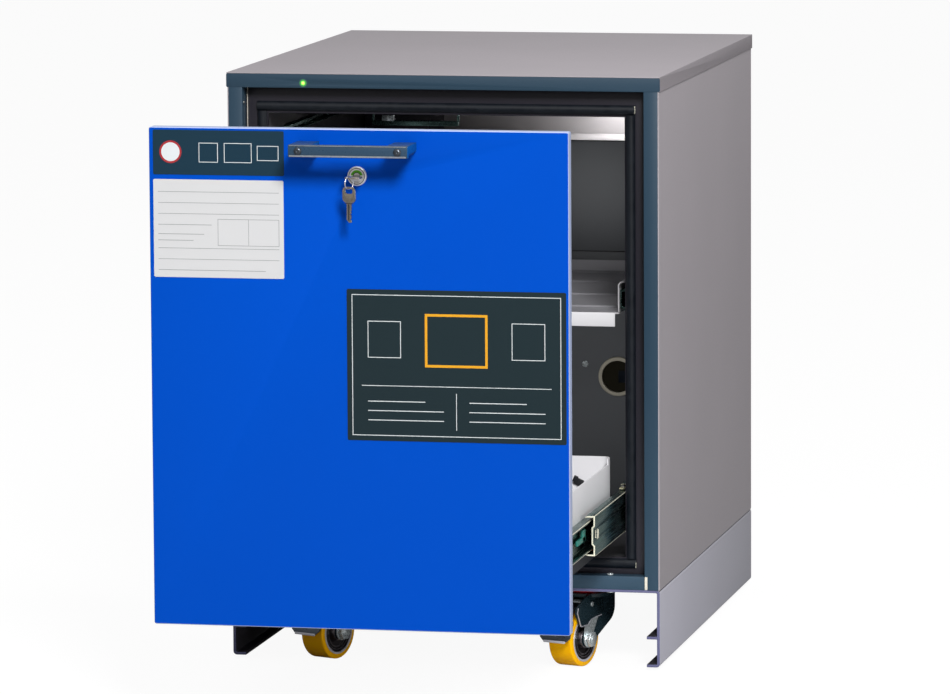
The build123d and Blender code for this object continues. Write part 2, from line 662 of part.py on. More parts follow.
def axle_bolt():
    """Axle with a hexagon head on one cheek of the fork and a nut on the other."""
    reach = FORK_OUTER_X
    pin = shaft(AXLE_DIAMETER / 2, -reach, reach + NUT_HEIGHT + NUT_RISE)
    nut = hexagon_nut(reach, reach + NUT_HEIGHT)
    head = hexagon_nut(-reach - NUT_HEIGHT, -reach)
    return Pos(0, -TRAIL, WHEEL_RADIUS) * (pin + nut + head)


def fork_cheek(swivel):
    """Side plate of a fork: a swivel fork has a broad shoulder, a guard in front and a lobe to the axle."""
    if swivel:
        back = FORK_HEAD_RADIUS
        shoulder = Pos(back - FORK_SHOULDER_RADIUS, FORK_TOP - FORK_SHOULDER_RADIUS - 1) \
            * Circle(FORK_SHOULDER_RADIUS)
        crown = Pos(0, FORK_TOP - 5.0) * Rectangle(2 * back, 10.0)
        guard = make_face(Polyline(*FORK_GUARD, close=True))
        axle = Pos(-TRAIL, WHEEL_RADIUS) * Circle(FORK_AXLE_RADIUS)
        upper = make_hull(shoulder.edges() + crown.edges() + guard.edges())
        root = Pos(*FORK_GUARD[-1]) * Circle(1.0)
        lobe = make_hull(axle.edges() + shoulder.edges() + root.edges())
        face = upper + lobe
    else:
        back = FIXED_FORK_BACK
        axle = Pos(-TRAIL, WHEEL_RADIUS) * Circle(FIXED_FORK_AXLE_RADIUS)
        upper = Pos(back - 12.0, FORK_TOP - 18.0) * Circle(12.0)
        crown = Pos(0, FORK_TOP - 5.0) * Rectangle(2 * back, 10.0)
        front = Pos(-TRAIL + 2.0, FORK_TOP - 12.0) * Circle(8.0)
        face = make_hull(axle.edges() + upper.edges() + crown.edges() + front.edges())
    plate = along_x(face, FORK_INNER_X, FORK_OUTER_X)
    return plate - shaft(AXLE_DIAMETER / 2, 0, FORK_OUTER_X + 1, -TRAIL, WHEEL_RADIUS)


def swivel_fork():
    """Two cheeks and the crown that turns under the mounting plate."""
    cheek = fork_cheek(True)
    crown = block(-FORK_OUTER_X, FORK_OUTER_X, -26.0, 26.0, FORK_TOP - FORK_TOP_THICKNESS, FORK_TOP)
    disc = Pos(0, 0, FORK_TOP - FORK_TOP_THICKNESS / 2) * Cylinder(FORK_HEAD_RADIUS, FORK_TOP_THICKNESS)
    fork = cheek + mirrored(cheek) + crown + disc
    reach = FORK_OUTER_X + 1
    pin_hole = shaft(PEDAL_PIN_DIAMETER / 2 + BEARING_CLEARANCE, -reach, reach, -PEDAL_PIN_FORWARD,
                     PEDAL_PIN_Z)
    king_hole = Cylinder(KINGPIN_DIAMETER / 2 + BEARING_CLEARANCE, 3 * FORK_TOP)
    return fork - pin_hole - king_hole


def fixed_fork():
    """Rear fork without swivel: its crown is welded to the plate."""
    cheek = fork_cheek(False)
    crown = block(-FORK_OUTER_X, FORK_OUTER_X, -26.0, 16.0, FORK_TOP - FORK_TOP_THICKNESS, FORK_TOP)
    neck = block(-FORK_OUTER_X, FORK_OUTER_X, -16.0, 16.0, FORK_TOP, PLATE_UNDERSIDE)
    return cheek + mirrored(cheek) + crown + neck


def castor_plate(swivel):
    plate = block(-PLATE_WIDTH / 2, PLATE_WIDTH / 2, -PLATE_LENGTH / 2, PLATE_LENGTH / 2,
                  PLATE_UNDERSIDE, BASE_UNDERSIDE)
    plate = fillet(plate.edges().filter_by(Axis.Z), 8.0)
    if swivel:
        race = Pos(0, 0, RACE_UNDERSIDE + RACE_HEIGHT / 2) * Cylinder(RACE_DIAMETER / 2, RACE_HEIGHT)
        low = FORK_TOP - FORK_TOP_THICKNESS - SLIDE_GAP
        pin = Pos(0, 0, (low + RACE_UNDERSIDE) / 2) * Cylinder(KINGPIN_DIAMETER / 2, RACE_UNDERSIDE - low)
        foot = Pos(0, 0, low - 1.5) * Cylinder(KINGPIN_DIAMETER * 0.8, 3.0)
        plate = plate + race + pin + foot
    return plate


def dust_ring():
    outer = RACE_DIAMETER / 2 + DUST_RING_WIDTH
    z1 = PLATE_UNDERSIDE
    ring = Pos(0, 0, z1 - DUST_RING_HEIGHT / 2) * Cylinder(outer, DUST_RING_HEIGHT)
    ring = fillet(ring.edges().group_by(Axis.Z)[0], 2.0)
    return ring - Pos(0, 0, z1) * Cylinder(RACE_DIAMETER / 2, 3 * DUST_RING_HEIGHT)


def castor_bolt(x, y):
    head = extrude(RegularPolygon(BOLT_HEAD / 2, 6, major_radius=False), amount=BOLT_HEAD_HEIGHT)
    return Pos(x, y, PLATE_UNDERSIDE - BOLT_HEAD_HEIGHT) * head


def brake_pedal():
    """Pressed pedal: arm over the tread, a wide foot plate in front and its hinge pin."""
    pin_y = -PEDAL_PIN_FORWARD
    front = -TRAIL - WHEEL_RADIUS
    path = [(pin_y, PEDAL_PIN_Z), (front + 16.0, PEDAL_PIN_Z - 3.0), (front - 8.5, 59.0),
            (front - 14.0, 39.5)]
    pedal = along_x(folded(path, PEDAL_SHEET), -PEDAL_WIDTH / 2, PEDAL_WIDTH / 2)
    half = PEDAL_WIDTH / 2
    arm = PEDAL_ARM_WIDTH / 2
    neck = make_face(Polyline((half + 1, pin_y + 20), (arm, pin_y + 20), (arm, front + 5.0),
                              (half + 1, front - 4.0), close=True))
    neck = along_z(neck, 0, 120)
    c = PEDAL_CORNER
    corner = make_face(Polyline((half + 1, 38.0 + c), (half + 1, 30.0), (half - c - 2, 30.0),
                                (half - c, 38.0), close=True))
    corner = along_y(corner, front - 30, front)
    pedal = pedal - neck - mirrored(neck) - corner - mirrored(corner)
    eye = shaft(PEDAL_PIN_DIAMETER / 2 + 1.6, -arm, arm, pin_y, PEDAL_PIN_Z)
    pin = shaft(PEDAL_PIN_DIAMETER / 2, -FORK_OUTER_X - 1.0, FORK_OUTER_X + 1.0, pin_y, PEDAL_PIN_Z)
    return pedal + eye + pin


FRONT_CASTORS = {
    "right": Pos(RIGHT_CASTOR_X, FRONT_CASTOR_Y, 0) * Rot(0, 0, -RIGHT_CASTOR_TURN),
    "left": Pos(LEFT_CASTOR_X, FRONT_CASTOR_Y, 0) * Rot(0, 0, -LEFT_CASTOR_TURN),
}
REAR_CASTORS = {
    "right": Pos(REAR_CASTOR_X, REAR_CASTOR_Y, 0),
    "left": Pos(-REAR_CASTOR_X, REAR_CASTOR_Y, 0),
}
CASTOR_SEATS = (Pos(RIGHT_CASTOR_X, FRONT_CASTOR_Y, 0), Pos(LEFT_CASTOR_X, FRONT_CASTOR_Y, 0))
WHEEL_PLACE = Pos(0, -TRAIL, WHEEL_RADIUS)


def castor_plates():
    swivels = [place * castor_plate(True) for place in CASTOR_SEATS]
    return group(*swivels, *[place * castor_plate(False) for place in REAR_CASTORS.values()])


def castor_bolts():
    bolts = []
    for place in (*CASTOR_SEATS, *REAR_CASTORS.values()):
        for x in (-BOLT_SPACING_X / 2, BOLT_SPACING_X / 2):
            for y in (-BOLT_SPACING_Y / 2, BOLT_SPACING_Y / 2):
                bolts.append(place * castor_bolt(x, y))
    return group(*bolts)


# Drawer

def drawer_front():
    """Blue steel pan with its edges turned back, and a hole for the lock barrel."""
    x = FRONT_HALF_WIDTH
    pan = block(-x, x, 0, FRONT_THICKNESS, FRONT_BOTTOM_Z, FRONT_TOP_Z)
    pan = fillet(pan.edges().filter_by(Axis.Y), 3.0)
    pan = fillet(pan.faces().sort_by(Axis.Y)[0].edges(), FRONT_EDGE_RADIUS)
    hollow = block(-x + SKIN, x - SKIN, SKIN, FRONT_THICKNESS + 1, FRONT_BOTTOM_Z + SKIN, FRONT_TOP_Z - SKIN)
    return pan - hollow - rod(BARREL_DIAMETER / 2 + FIT, -5, 30, 0, LOCK_Z)


def drawer_core():
    """Insulation of the drawer: fills the pan and steps down to the plug."""
    x = FRONT_HALF_WIDTH - SKIN
    board = block(-x, x, SKIN, FRONT_THICKNESS - PLUG_CLADDING, FRONT_BOTTOM_Z + SKIN, FRONT_TOP_Z - SKIN)
    low = FRAME_OPENING_BOTTOM + PLUG_GAP + PLUG_CLADDING
    high = FRAME_OPENING_TOP - PLUG_GAP - PLUG_CLADDING
    half = PLUG_HALF_WIDTH - PLUG_CLADDING
    plug = block(-half, half, FRONT_THICKNESS - PLUG_CLADDING, PLUG_BACK_Y - PLUG_CLADDING, low, high)
    return board + plug - rod(BARREL_DIAMETER / 2 + FIT, -5, BARREL_LENGTH + FIT, 0, LOCK_Z)


def drawer_inner_panel():
    """Steel pan over the plug, with the flange that closes the back of the drawer front."""
    low = FRAME_OPENING_BOTTOM + PLUG_GAP
    high = FRAME_OPENING_TOP - PLUG_GAP
    half = PLUG_HALF_WIDTH
    t = PLUG_CLADDING
    x = FRONT_HALF_WIDTH - SKIN
    flange = block(-x, x, FRONT_THICKNESS - t, FRONT_THICKNESS, FRONT_BOTTOM_Z + SKIN, FRONT_TOP_Z - SKIN)
    pan = block(-half, half, FRONT_THICKNESS - t, PLUG_BACK_Y, low, high)
    return flange + pan - block(-half + t, half - t, 0, PLUG_BACK_Y - t, low + t, high - t)


def handle_bar():
    """Bar with a slightly crowned front face, standing on two legs cut from the same section."""
    half = HANDLE_LENGTH / 2
    h = HANDLE_HEIGHT / 2
    deep = HANDLE_PROJECTION
    edge = -deep + HANDLE_CROWN
    front = ThreePointArc((edge, -h), (-deep, 0), (edge, h))
    rest = Polyline((edge, h), (0, h), (0, -h), (edge, -h))
    bar = along_x(make_face([front, rest]), -half, half)
    bar = fillet(bar.edges().filter_by(Axis.X).group_by(Axis.Y)[0], 1.0)
    gap = block(-half + HANDLE_LEG_WIDTH, half - HANDLE_LEG_WIDTH, -deep + HANDLE_BAR_THICKNESS, 5, -30, 30)
    gap = fillet(gap.edges().filter_by(Axis.Z).group_by(Axis.Y)[0], 4.0)
    bar = bar - gap
    c = HANDLE_LEG_CHAMFER
    wedge = make_face(Polyline((half + 1, -h - 1), (half + 1, -h + c + 1), (half - c - 1, -h - 1), close=True))
    wedge = along_y(wedge, -deep + HANDLE_BAR_THICKNESS, 5)
    bar = bar - wedge - mirrored(wedge)
    return Pos(0, 0, HANDLE_Z) * bar


def handle_screws():
    """Two dome-head screws through the bar."""
    face = -HANDLE_PROJECTION
    head = HANDLE_SCREW_HEAD / 2
    socket = HANDLE_SCREW_SOCKET
    lines = Polyline((socket, HANDLE_SCREW_RISE - 1.6), (0, HANDLE_SCREW_RISE - 1.6), (0, 0), (head, 0),
                     (head, 0.6))
    dome = ThreePointArc((head, 0.6), ((head + socket) / 2 + 0.5, HANDLE_SCREW_RISE * 0.74),
                         (socket, HANDLE_SCREW_RISE))
    side = Line((socket, HANDLE_SCREW_RISE), (socket, HANDLE_SCREW_RISE - 1.6))
    turned = revolve(make_face([lines, dome, side]), Axis.Y, 360)
    screws = []
    for x in (-HANDLE_SCREW_SPACING / 2, HANDLE_SCREW_SPACING / 2):
        screws.append(Pos(x, face, HANDLE_Z) * Rot(180, 0, 0) * turned)
    return group(*screws)


def lock_rosette():
    """Lock case through the drawer front, with a rosette whose window shows the state of the lock."""
    rose = rod(ROSETTE_DIAMETER / 2, -ROSETTE_HEIGHT, 0, 0, LOCK_Z)
    rose = fillet(rose.edges().filter_by(GeomType.CIRCLE).group_by(Axis.Y)[0], 1.6)
    case = rod(BARREL_DIAMETER / 2, 0, BARREL_LENGTH, 0, LOCK_Z)
    bore = rod(CYLINDER_DIAMETER / 2 + TURN_CLEARANCE, -10, CYLINDER_LENGTH + FIT - ROSETTE_HEIGHT, 0, LOCK_Z)
    return rose + case - bore


def lock_cylinder():
    """Turning cylinder with its key slot, level because the lock is open."""
    face = -ROSETTE_HEIGHT + 0.4
    core = rod(CYLINDER_DIAMETER / 2, face, CYLINDER_LENGTH - ROSETTE_HEIGHT, 0, LOCK_Z)
    slot = block(-KEY_BLADE_WIDTH / 2 - FIT, KEY_BLADE_WIDTH / 2 + FIT, face - 1,
                 face + KEY_BLADE_LENGTH - KEY_SHANK_LENGTH + FIT,
                 LOCK_Z - KEY_THICKNESS / 2 - 0.1, LOCK_Z + KEY_THICKNESS / 2 + 0.1)
    return core - slot


def key_outline():
    """Flat key: bow above the origin, blade with its cuts below; the origin is where the bow ends."""
    half = KEY_BOW_WIDTH / 2
    blade = KEY_BLADE_WIDTH / 2
    bow = Pos(0, KEY_BOW_LENGTH / 2) * RectangleRounded(KEY_BOW_WIDTH, KEY_BOW_LENGTH, 6.0)
    hole_y = KEY_BOW_LENGTH - KEY_BOW_RIM - KEY_BOW_HOLE / 2
    bow = bow - Pos(0, hole_y) * SlotOverall(KEY_BOW_HOLE * 2, KEY_BOW_HOLE)
    for side in (-1, 1):
        bow = bow - Pos(side * (half + 0.6), 1.0) * Circle(2.2)
    stem = Pos(0, -KEY_BLADE_LENGTH / 2 + 1) * Rectangle(KEY_BLADE_WIDTH, KEY_BLADE_LENGTH + 2)
    key = bow + stem
    key = key - make_face(Polyline((-blade - 1, -KEY_BLADE_LENGTH - 1), (-blade - 1, -KEY_BLADE_LENGTH + 4),
                                   (1.0, -KEY_BLADE_LENGTH - 1), close=True))
    for i, depth in enumerate((1.4, 2.4, 1.0, 2.0)):
        y = -KEY_SHANK_LENGTH - 2.2 - 3.2 * i
        key = key - make_face(Polyline((blade + 0.1, y - 1.5), (blade - depth, y), (blade + 0.1, y + 1.5),
                                       close=True))
    return key


def flat_key():
    return extrude(Plane.XY.offset(-KEY_THICKNESS / 2) * key_outline(), amount=KEY_THICKNESS)


def turn_key():
    """Key in the lock: its blade runs into the slot, its bow lies level in front."""
    return Pos(0, -KEY_BOW_START, LOCK_Z) * Rot(0, 0, 180) * flat_key()


def ring_centre():
    """Middle of the key ring, which hangs on the rim at the end of the bow in the lock."""
    rim_y = -(KEY_BOW_START + KEY_BOW_LENGTH - KEY_BOW_RIM / 2)
    drop = RING_RADIUS - RING_WIRE / 2 - KEY_THICKNESS / 2 - RING_PLAY
    return (RING_X, rim_y, LOCK_Z - drop)


def key_ring():
    return Pos(*ring_centre()) * Rot(0, 0, -RING_TURN) * Rot(0, 90, 0) * Torus(RING_RADIUS, RING_WIRE / 2)


def spare_key():
    """Second key, hanging on the ring below the lock."""
    rim = RING_PLAY / 2 + RING_WIRE / 2 - RING_RADIUS
    hanging = Pos(0, 0, rim - KEY_BOW_LENGTH + KEY_BOW_RIM) * Rot(90, 0, 0) * flat_key()
    return Pos(*ring_centre()) * Rot(0, 0, -RING_TURN) * hanging


def sump_tray():
    """White collecting tray: folded walls, rounded corners, a turned-out rim and a higher back."""
    x = SUMP_HALF_WIDTH
    y0 = PLUG_BACK_Y + FIT
    y1 = y0 + SUMP_LENGTH
    outside = block(-x, x, y0, y1, SUMP_FLOOR_Z, SUMP_REAR_RIM_Z)
    outside = fillet(outside.edges().filter_by(Axis.Z), SUMP_CORNER_RADIUS)
    w = SUMP_WALL
    inside = block(-x + w, x - w, y0 + w, y1 - w, SUMP_FLOOR_Z + w, SUMP_REAR_RIM_Z + 1)
    inside = fillet(inside.edges().filter_by(Axis.Z), SUMP_CORNER_RADIUS - w)
    tray = outside - inside
    above = block(-x - 1, x + 1, y0 - 1, y1 - 2 * SUMP_CORNER_RADIUS, SUMP_RIM_Z, SUMP_REAR_RIM_Z + 1)
    return tray - above


# Telescopic runner, drawn for the right side about the middle of its height

def channel(height, depth, web_x, lip, step):
    """C section of a runner member, open to the left: web with a step, flanges and turned lips."""
    s = RUNNER_SHEET
    h = height / 2 - s / 2
    x = web_x - s / 2
    race = h * 0.42
    left = web_x - depth
    return folded([(left + s / 2, h - lip), (left + 2 * s, h), (x, h), (x, race + step),
                   (x - step, race), (x - step, -race), (x, -race - step), (x, -h),
                   (left + 2 * s, -h), (left + s / 2, -h + lip)], s)


def on_wall(shape):
    """Place a shape drawn about the runner's middle on the right lining."""
    return Pos(INNER_X, 0, RUNNER_Z) * shape


def both(shape):
    return group(shape, mirrored(shape))


def slotted(shape, x0, x1, height):
    """Upright slots near both ends of a runner member."""
    for y in (RUNNER_START + 18.0, RUNNER_START + 30.0, RUNNER_START + RUNNER_LENGTH - 30.0):
        shape = shape - along_x(Pos(y, 0) * SlotOverall(height, 5.0, rotation=90), x0, x1)
    return shape


def runner_outer():
    """Cabinet members, screwed to the side linings."""
    face = channel(OUTER_RUNNER_HEIGHT, RUNNER_DEPTH, 0, 1.0, OUTER_RUNNER_STEP)
    return both(on_wall(along_y(face, RUNNER_START, RUNNER_START + RUNNER_LENGTH)))


def runner_middle():
    """Middle members, which follow the drawer at half its speed."""
    depth = RUNNER_DEPTH - MIDDLE_RUNNER_OFFSET
    face = channel(MIDDLE_RUNNER_HEIGHT, depth, -MIDDLE_RUNNER_OFFSET, 1.0, RUNNER_STEP)
    bar = along_y(face, RUNNER_START, RUNNER_START + RUNNER_LENGTH)
    return both(on_wall(slotted(bar, -12, 2, 13.0)))


def runner_inner():
    """Drawer members: the web lies against the sump and the flanges point outwards."""
    s = RUNNER_SHEET
    h = INNER_RUNNER_HEIGHT / 2 - s / 2
    x0 = SUMP_HALF_WIDTH - INNER_X + s / 2
    x1 = x0 + INNER_RUNNER_DEPTH
    face = folded([(x1, h), (x0, h), (x0, -h), (x1, -h)], s)
    return both(on_wall(along_y(face, RUNNER_START, RUNNER_START + INNER_RUNNER_LENGTH)))


def race_places():
    """Middle and radius of the balls in the four races of one runner, and where each cage starts."""
    sheet = RUNNER_SHEET
    outer_low = MIDDLE_RUNNER_HEIGHT / 2
    outer_high = OUTER_RUNNER_HEIGHT / 2 - sheet
    inner_low = INNER_RUNNER_HEIGHT / 2
    inner_high = MIDDLE_RUNNER_HEIGHT / 2 - sheet
    outer_x = -RUNNER_DEPTH / 2 - OUTER_BALL_SETBACK
    inner_x = SUMP_HALF_WIDTH - INNER_X + INNER_RUNNER_DEPTH - INNER_BALL_SETBACK
    places = []
    for sign in (-1, 1):
        places.append((outer_x, sign * (outer_low + outer_high) / 2,
                       (outer_high - outer_low) / 2 - BALL_CLEARANCE, OUTER_CAGE_START))
        places.append((inner_x, sign * (inner_low + inner_high) / 2,
                       (inner_high - inner_low) / 2 - BALL_CLEARANCE, INNER_CAGE_START))
    return places


def runner_balls():
    balls = []
    for x, z, radius, start in race_places():
        for i in range(BALLS_PER_RACE):
            y = start + CAGE_LENGTH / 2 + (i - (BALLS_PER_RACE - 1) / 2) * BALL_PITCH
            balls.append(on_wall(Pos(x, y, z) * Sphere(radius)))
    return both(group(*balls))


def runner_cages():
    """Strips that keep the balls apart; each ball stands in a round hole."""
    cages = []
    for x, z, radius, start in race_places():
        strip = block(x - CAGE_WIDTH / 2, x + CAGE_WIDTH / 2, start, start + CAGE_LENGTH,
                      z - CAGE_THICKNESS / 2, z + CAGE_THICKNESS / 2)
        for i in range(BALLS_PER_RACE):
            y = start + CAGE_LENGTH / 2 + (i - (BALLS_PER_RACE - 1) / 2) * BALL_PITCH
            strip = strip - Pos(x, y, z) * Cylinder(radius + BALL_CLEARANCE, 10)
        cages.append(on_wall(strip))
    return both(group(*cages))


# Pull-out tray

def inner_tray():
    """Folded white tray: floor with pressed beads, a lip turned down in front, flanges up the sides."""
    s = TRAY_SHEET
    half = TRAY_HALF_WIDTH - s / 2
    floor = TRAY_FLOOR_Z - s / 2
    top = TRAY_FLOOR_Z + TRAY_FLANGE_HEIGHT
    y0 = TRAY_START
    y1 = TRAY_START + TRAY_LENGTH
    right = [(half, floor), (half, top - 4.0), (half + 1.5, top - 1.5), (half + 4.0, top),
             (half + TRAY_FLANGE_TURN, top)]
    left = [(-x, z) for x, z in right[::-1]]
    tray = along_y(folded(left + right, s), y0 + s, y1)
    wide = half + TRAY_FLANGE_TURN + s
    tray = tray - block(-wide, wide, y0 - 1, y0 + TRAY_FLANGE_SETBACK, TRAY_FLOOR_Z, top + s)
    lip_half = half - 4.0
    tray = tray + block(-lip_half, lip_half, y0, y0 + s, TRAY_FLOOR_Z - TRAY_LIP_HEIGHT, TRAY_FLOOR_Z)
    tray = tray + block(-half + s, half - s, y1 - s, y1, TRAY_FLOOR_Z - s, TRAY_FLOOR_Z + 15.0)
    w = TRAY_BEAD_WIDTH / 2
    front_beads = [y0 + place for place in TRAY_FRONT_BEADS]
    rear_beads = [y1 - place for place in TRAY_REAR_BEADS]
    for y in front_beads + rear_beads:
        arc = ThreePointArc((y - w, TRAY_FLOOR_Z), (y, TRAY_FLOOR_Z + TRAY_BEAD_HEIGHT), (y + w, TRAY_FLOOR_Z))
        bead = make_face([arc, Line((y + w, TRAY_FLOOR_Z), (y - w, TRAY_FLOOR_Z))])
        tray = tray + along_x(bead, -half + 12.0, half - 12.0)
    return tray


def tray_rails():
    """Channels on the side linings that carry the tray."""
    s = RUNNER_SHEET
    h = TRAY_RAIL_HEIGHT / 2 - s / 2
    x1 = INNER_X - s / 2
    x0 = INNER_X - TRAY_RAIL_DEPTH
    face = folded([(x0, TRAY_RAIL_Z + h), (x1, TRAY_RAIL_Z + h), (x1, TRAY_RAIL_Z - h),
                   (x0, TRAY_RAIL_Z - h)], s)
    return both(along_y(face, TRAY_START + 5.0, TRAY_START + 5.0 + TRAY_RAIL_LENGTH))


def tray_slides():
    """Channels on the tray flanges that run inside the rails."""
    s = RUNNER_SHEET
    h = TRAY_RAIL_HEIGHT / 2 - s - SLIDE_GAP - s / 2
    x0 = TRAY_HALF_WIDTH + s / 2
    x1 = TRAY_HALF_WIDTH + TRAY_SLIDE_DEPTH
    face = folded([(x1, TRAY_RAIL_Z + h), (x0, TRAY_RAIL_Z + h), (x0, TRAY_RAIL_Z - h),
                   (x1, TRAY_RAIL_Z - h)], s)
    return both(along_y(face, TRAY_START + 12.0, TRAY_START + 12.0 + TRAY_RAIL_LENGTH - 20.0))


# All nodes of the object

def make_nodes():
    nodes = {
        "top_cover": top_cover(),
        "front_top_rail": front_top_rail(),
        "side_panels": both(side_panel()),
        "rear_panel": rear_panel(),
        "front_posts": both(front_post()),
        "front_bottom_rail": front_bottom_rail(),
        "fire_boards": fire_boards(),
        "liner_sides": both(liner_side()),
        "liner_levels": group(liner_level(INNER_FLOOR_Z - LINER), liner_level(INNER_CEILING_Z)),
        "liner_rear": liner_rear(),
        "recess_frame": recess_frame(),
        "door_seal": door_seal(),
        "status_led": status_led(),
        "air_spigots": air_spigots(),
        "mains_inlet": mains_inlet(),
        "air_duct": air_duct(),
        "fan_box": fan_box(),
        "rear_covers": group(rear_cover_upper(), rear_cover_lower()),
        "vent_collar": vent_collar(),
        "cover_screws": cover_screws(),
        "socket_strip": socket_strip(),
        "base_chassis": base_chassis(),
        "castor_plates": castor_plates(),
        "castor_bolts": castor_bolts(),
        "dust_rings": group(*[place * dust_ring() for place in CASTOR_SEATS]),
        "rear_forks": group(*[place * fixed_fork() for place in REAR_CASTORS.values()]),
        "rear_axles": group(*[place * axle_bolt() for place in REAR_CASTORS.values()]),
        "runner_outer": runner_outer(),
        "tray_rails": tray_rails(),
        "runner_middle": HALF_OUT * runner_middle(),
        "runner_cages": HALF_OUT * runner_cages(),
        "runner_balls": HALF_OUT * runner_balls(),
        "inner_tray": inner_tray(),
        "tray_slides": tray_slides(),
        "drawer_front": OUT * drawer_front(),
        "drawer_core": OUT * drawer_core(),
        "drawer_inner_panel": OUT * drawer_inner_panel(),
        "sump_tray": OUT * sump_tray(),
        "runner_inner": OUT * runner_inner(),
        "handle_bar": OUT * handle_bar(),
        "handle_screws": OUT * handle_screws(),
        "lock_rosette": OUT * lock_rosette(),
        "lock_cylinder": OUT * lock_cylinder(),
        "turn_key": OUT * turn_key(),
        "key_ring": OUT * key_ring(),
        "spare_key": OUT * spare_key(),
    }
    for side, place in FRONT_CASTORS.items():
        nodes[f"front_fork_{side}"] = place * swivel_fork()
        nodes[f"front_axle_{side}"] = place * axle_bolt()
        nodes[f"brake_pedal_{side}"] = place * brake_pedal()
        nodes[f"front_hub_{side}"] = place * WHEEL_PLACE * wheel_hub()
        nodes[f"front_tread_{side}"] = place * WHEEL_PLACE * wheel_tread()
    for side, place in REAR_CASTORS.items():
        nodes[f"rear_hub_{side}"] = place * WHEEL_PLACE * wheel_hub()
        nodes[f"rear_tread_{side}"] = place * WHEEL_PLACE * wheel_tread()
    return nodes


if __name__ == "__main__":
    os.makedirs("parts", exist_ok=True)
    for name, shape in make_nodes().items():
        export_step(Pos(0, -MIDDLE_Y, 0) * shape, f"parts/{name}.step")
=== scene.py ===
"""Looks of the battery cabinet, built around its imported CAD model.

Lengths are millimetres in the property groups and the constants; meshes are in metres.
"""
import json
import math

import bmesh
import bpy
from mathutils import Matrix, Vector


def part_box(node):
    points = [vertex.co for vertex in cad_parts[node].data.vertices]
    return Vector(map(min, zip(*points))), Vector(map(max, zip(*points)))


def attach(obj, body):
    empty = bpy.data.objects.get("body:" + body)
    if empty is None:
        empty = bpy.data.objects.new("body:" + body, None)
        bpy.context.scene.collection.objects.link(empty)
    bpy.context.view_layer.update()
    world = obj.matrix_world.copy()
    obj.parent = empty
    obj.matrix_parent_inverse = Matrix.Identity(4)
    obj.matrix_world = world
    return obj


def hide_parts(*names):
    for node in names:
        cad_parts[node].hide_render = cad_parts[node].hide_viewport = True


bl_info = {
    "name": "Battery Cabinet Dressing",
    "version": (1, 0, 0),
    "blender": (4, 5, 0),
    "location": "View3D > Sidebar > Cabinet",
    "description": "Builds the finishes and fine pieces of a castor-mounted battery cabinet",
    "category": "Object",
}

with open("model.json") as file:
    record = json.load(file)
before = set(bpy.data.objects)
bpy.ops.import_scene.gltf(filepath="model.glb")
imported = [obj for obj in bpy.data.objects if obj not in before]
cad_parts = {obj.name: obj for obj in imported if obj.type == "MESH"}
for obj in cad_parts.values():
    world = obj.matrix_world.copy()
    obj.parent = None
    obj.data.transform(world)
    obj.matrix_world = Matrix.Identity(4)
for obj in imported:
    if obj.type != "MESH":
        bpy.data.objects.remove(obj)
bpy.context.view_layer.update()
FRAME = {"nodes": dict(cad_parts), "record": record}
MM = 0.001
# Millimetres; the axle and the pin are (Y, Z) in a front fork's own frame.
GLOW_RADIUS = 6.0
AXLE_AT = (-38.0, 37.5)
PEDAL_PIN_AT = (-29.0, 84.0)
LOBE_RADIUS = 11.4
PURE_WHITE = (1.0, 1.0, 1.0, 1.0)


def linear(code):
    """sRGB hex to linear colour with full alpha."""
    channels = [int(code[i:i + 2], 16) / 255 for i in (0, 2, 4)]
    return [c / 12.92 if c <= 0.04045 else ((c + 0.055) / 1.055) ** 2.4 for c in channels] + [1.0]


def colour(code, label, description):
    """Colour property whose default is an sRGB hex value."""
    return bpy.props.FloatVectorProperty(name=label, description=description, subtype="COLOR", size=4,
                                         min=0.0, max=1.0, default=linear(code))


def length(value, label, description):
    """Length property; its number is millimetres, which no unit of the panel stands for."""
    return bpy.props.FloatProperty(name=f"{label} (mm)", description=description, default=value,
                                   min=0.0)


class CabinetFinish(bpy.types.PropertyGroup):
    """Colours of the cabinet's finishes."""
    grey: colour("A8A2A7", "Grey Coat", "Powder coat of the top and the sides")
    # The skirt grey is its own slightly bluer grey, lightened further as painted light for the bounce from
    # the floor.
    skirt: colour("B3B2BD", "Skirt Coat", "Powder coat of the base sheet")
    anthracite: colour("2E4455", "Anthracite Coat", "Powder coat of the front members")
    blue: colour("004DC1", "Blue Coat", "Powder coat of the drawer front")
    # Pale blue for the drawer front's thin folded edges: painted highlight, the light those edges catch.
    blue_edge: colour("B8C6EC", "Blue Edge Highlight", "Thin folded edge of the drawer front")
    white: colour("E4E3E6", "White Coat", "Powder coat of the sump and the tray")
    # The lining is darker than the rear lining as painted shade inside the cabinet.
    lining: colour("3A3A3D", "Lining", "Coated sheet on the sides, floor and ceiling inside")
    rear_lining: colour("CBC7C8", "Rear Lining", "Pale sheet of the rear wall and the duct")
    cover: colour("5A5C5F", "Cover Coat", "Dark sheet at the back of the inside")
    black: colour("24222A", "Frame Coat", "Black frame round the opening")
    handle: colour("2C455B", "Handle Coat", "Coated bar handle")
    plate: colour("183444", "Plate", "Upper dark plate on the drawer front")
    plate_wide: colour("1D2C31", "Wide Plate", "Wide dark plate on the drawer front")
    paper: colour("D5D5D6", "Type Plate", "Bare white plate on the drawer front")
    amber: colour("FFB600", "Tread", "Cast polyurethane tread")
    red: colour("A80A1C", "Dust Ring", "Red ring over the swivel bearing")


class CabinetSizes(bpy.types.PropertyGroup):
    """Sizes of the pieces that only the scene has."""
    edge: length(0.9, "Sheet Edge", "Radius broken on the edges of folded sheet")
    plate_thickness: length(0.5, "Plate Thickness", "Thickness of the bare plates")


def add(tree, kind, inputs=None, **settings):
    """Add a node; an input takes a constant or the socket it is linked from."""
    node = tree.nodes.new(kind)
    for key, value in settings.items():
        setattr(node, key, value)
    for key, value in (inputs or {}).items():
        if isinstance(value, bpy.types.NodeSocket):
            tree.links.new(value, node.inputs[key])
        else:
            node.inputs[key].default_value = value
    return node


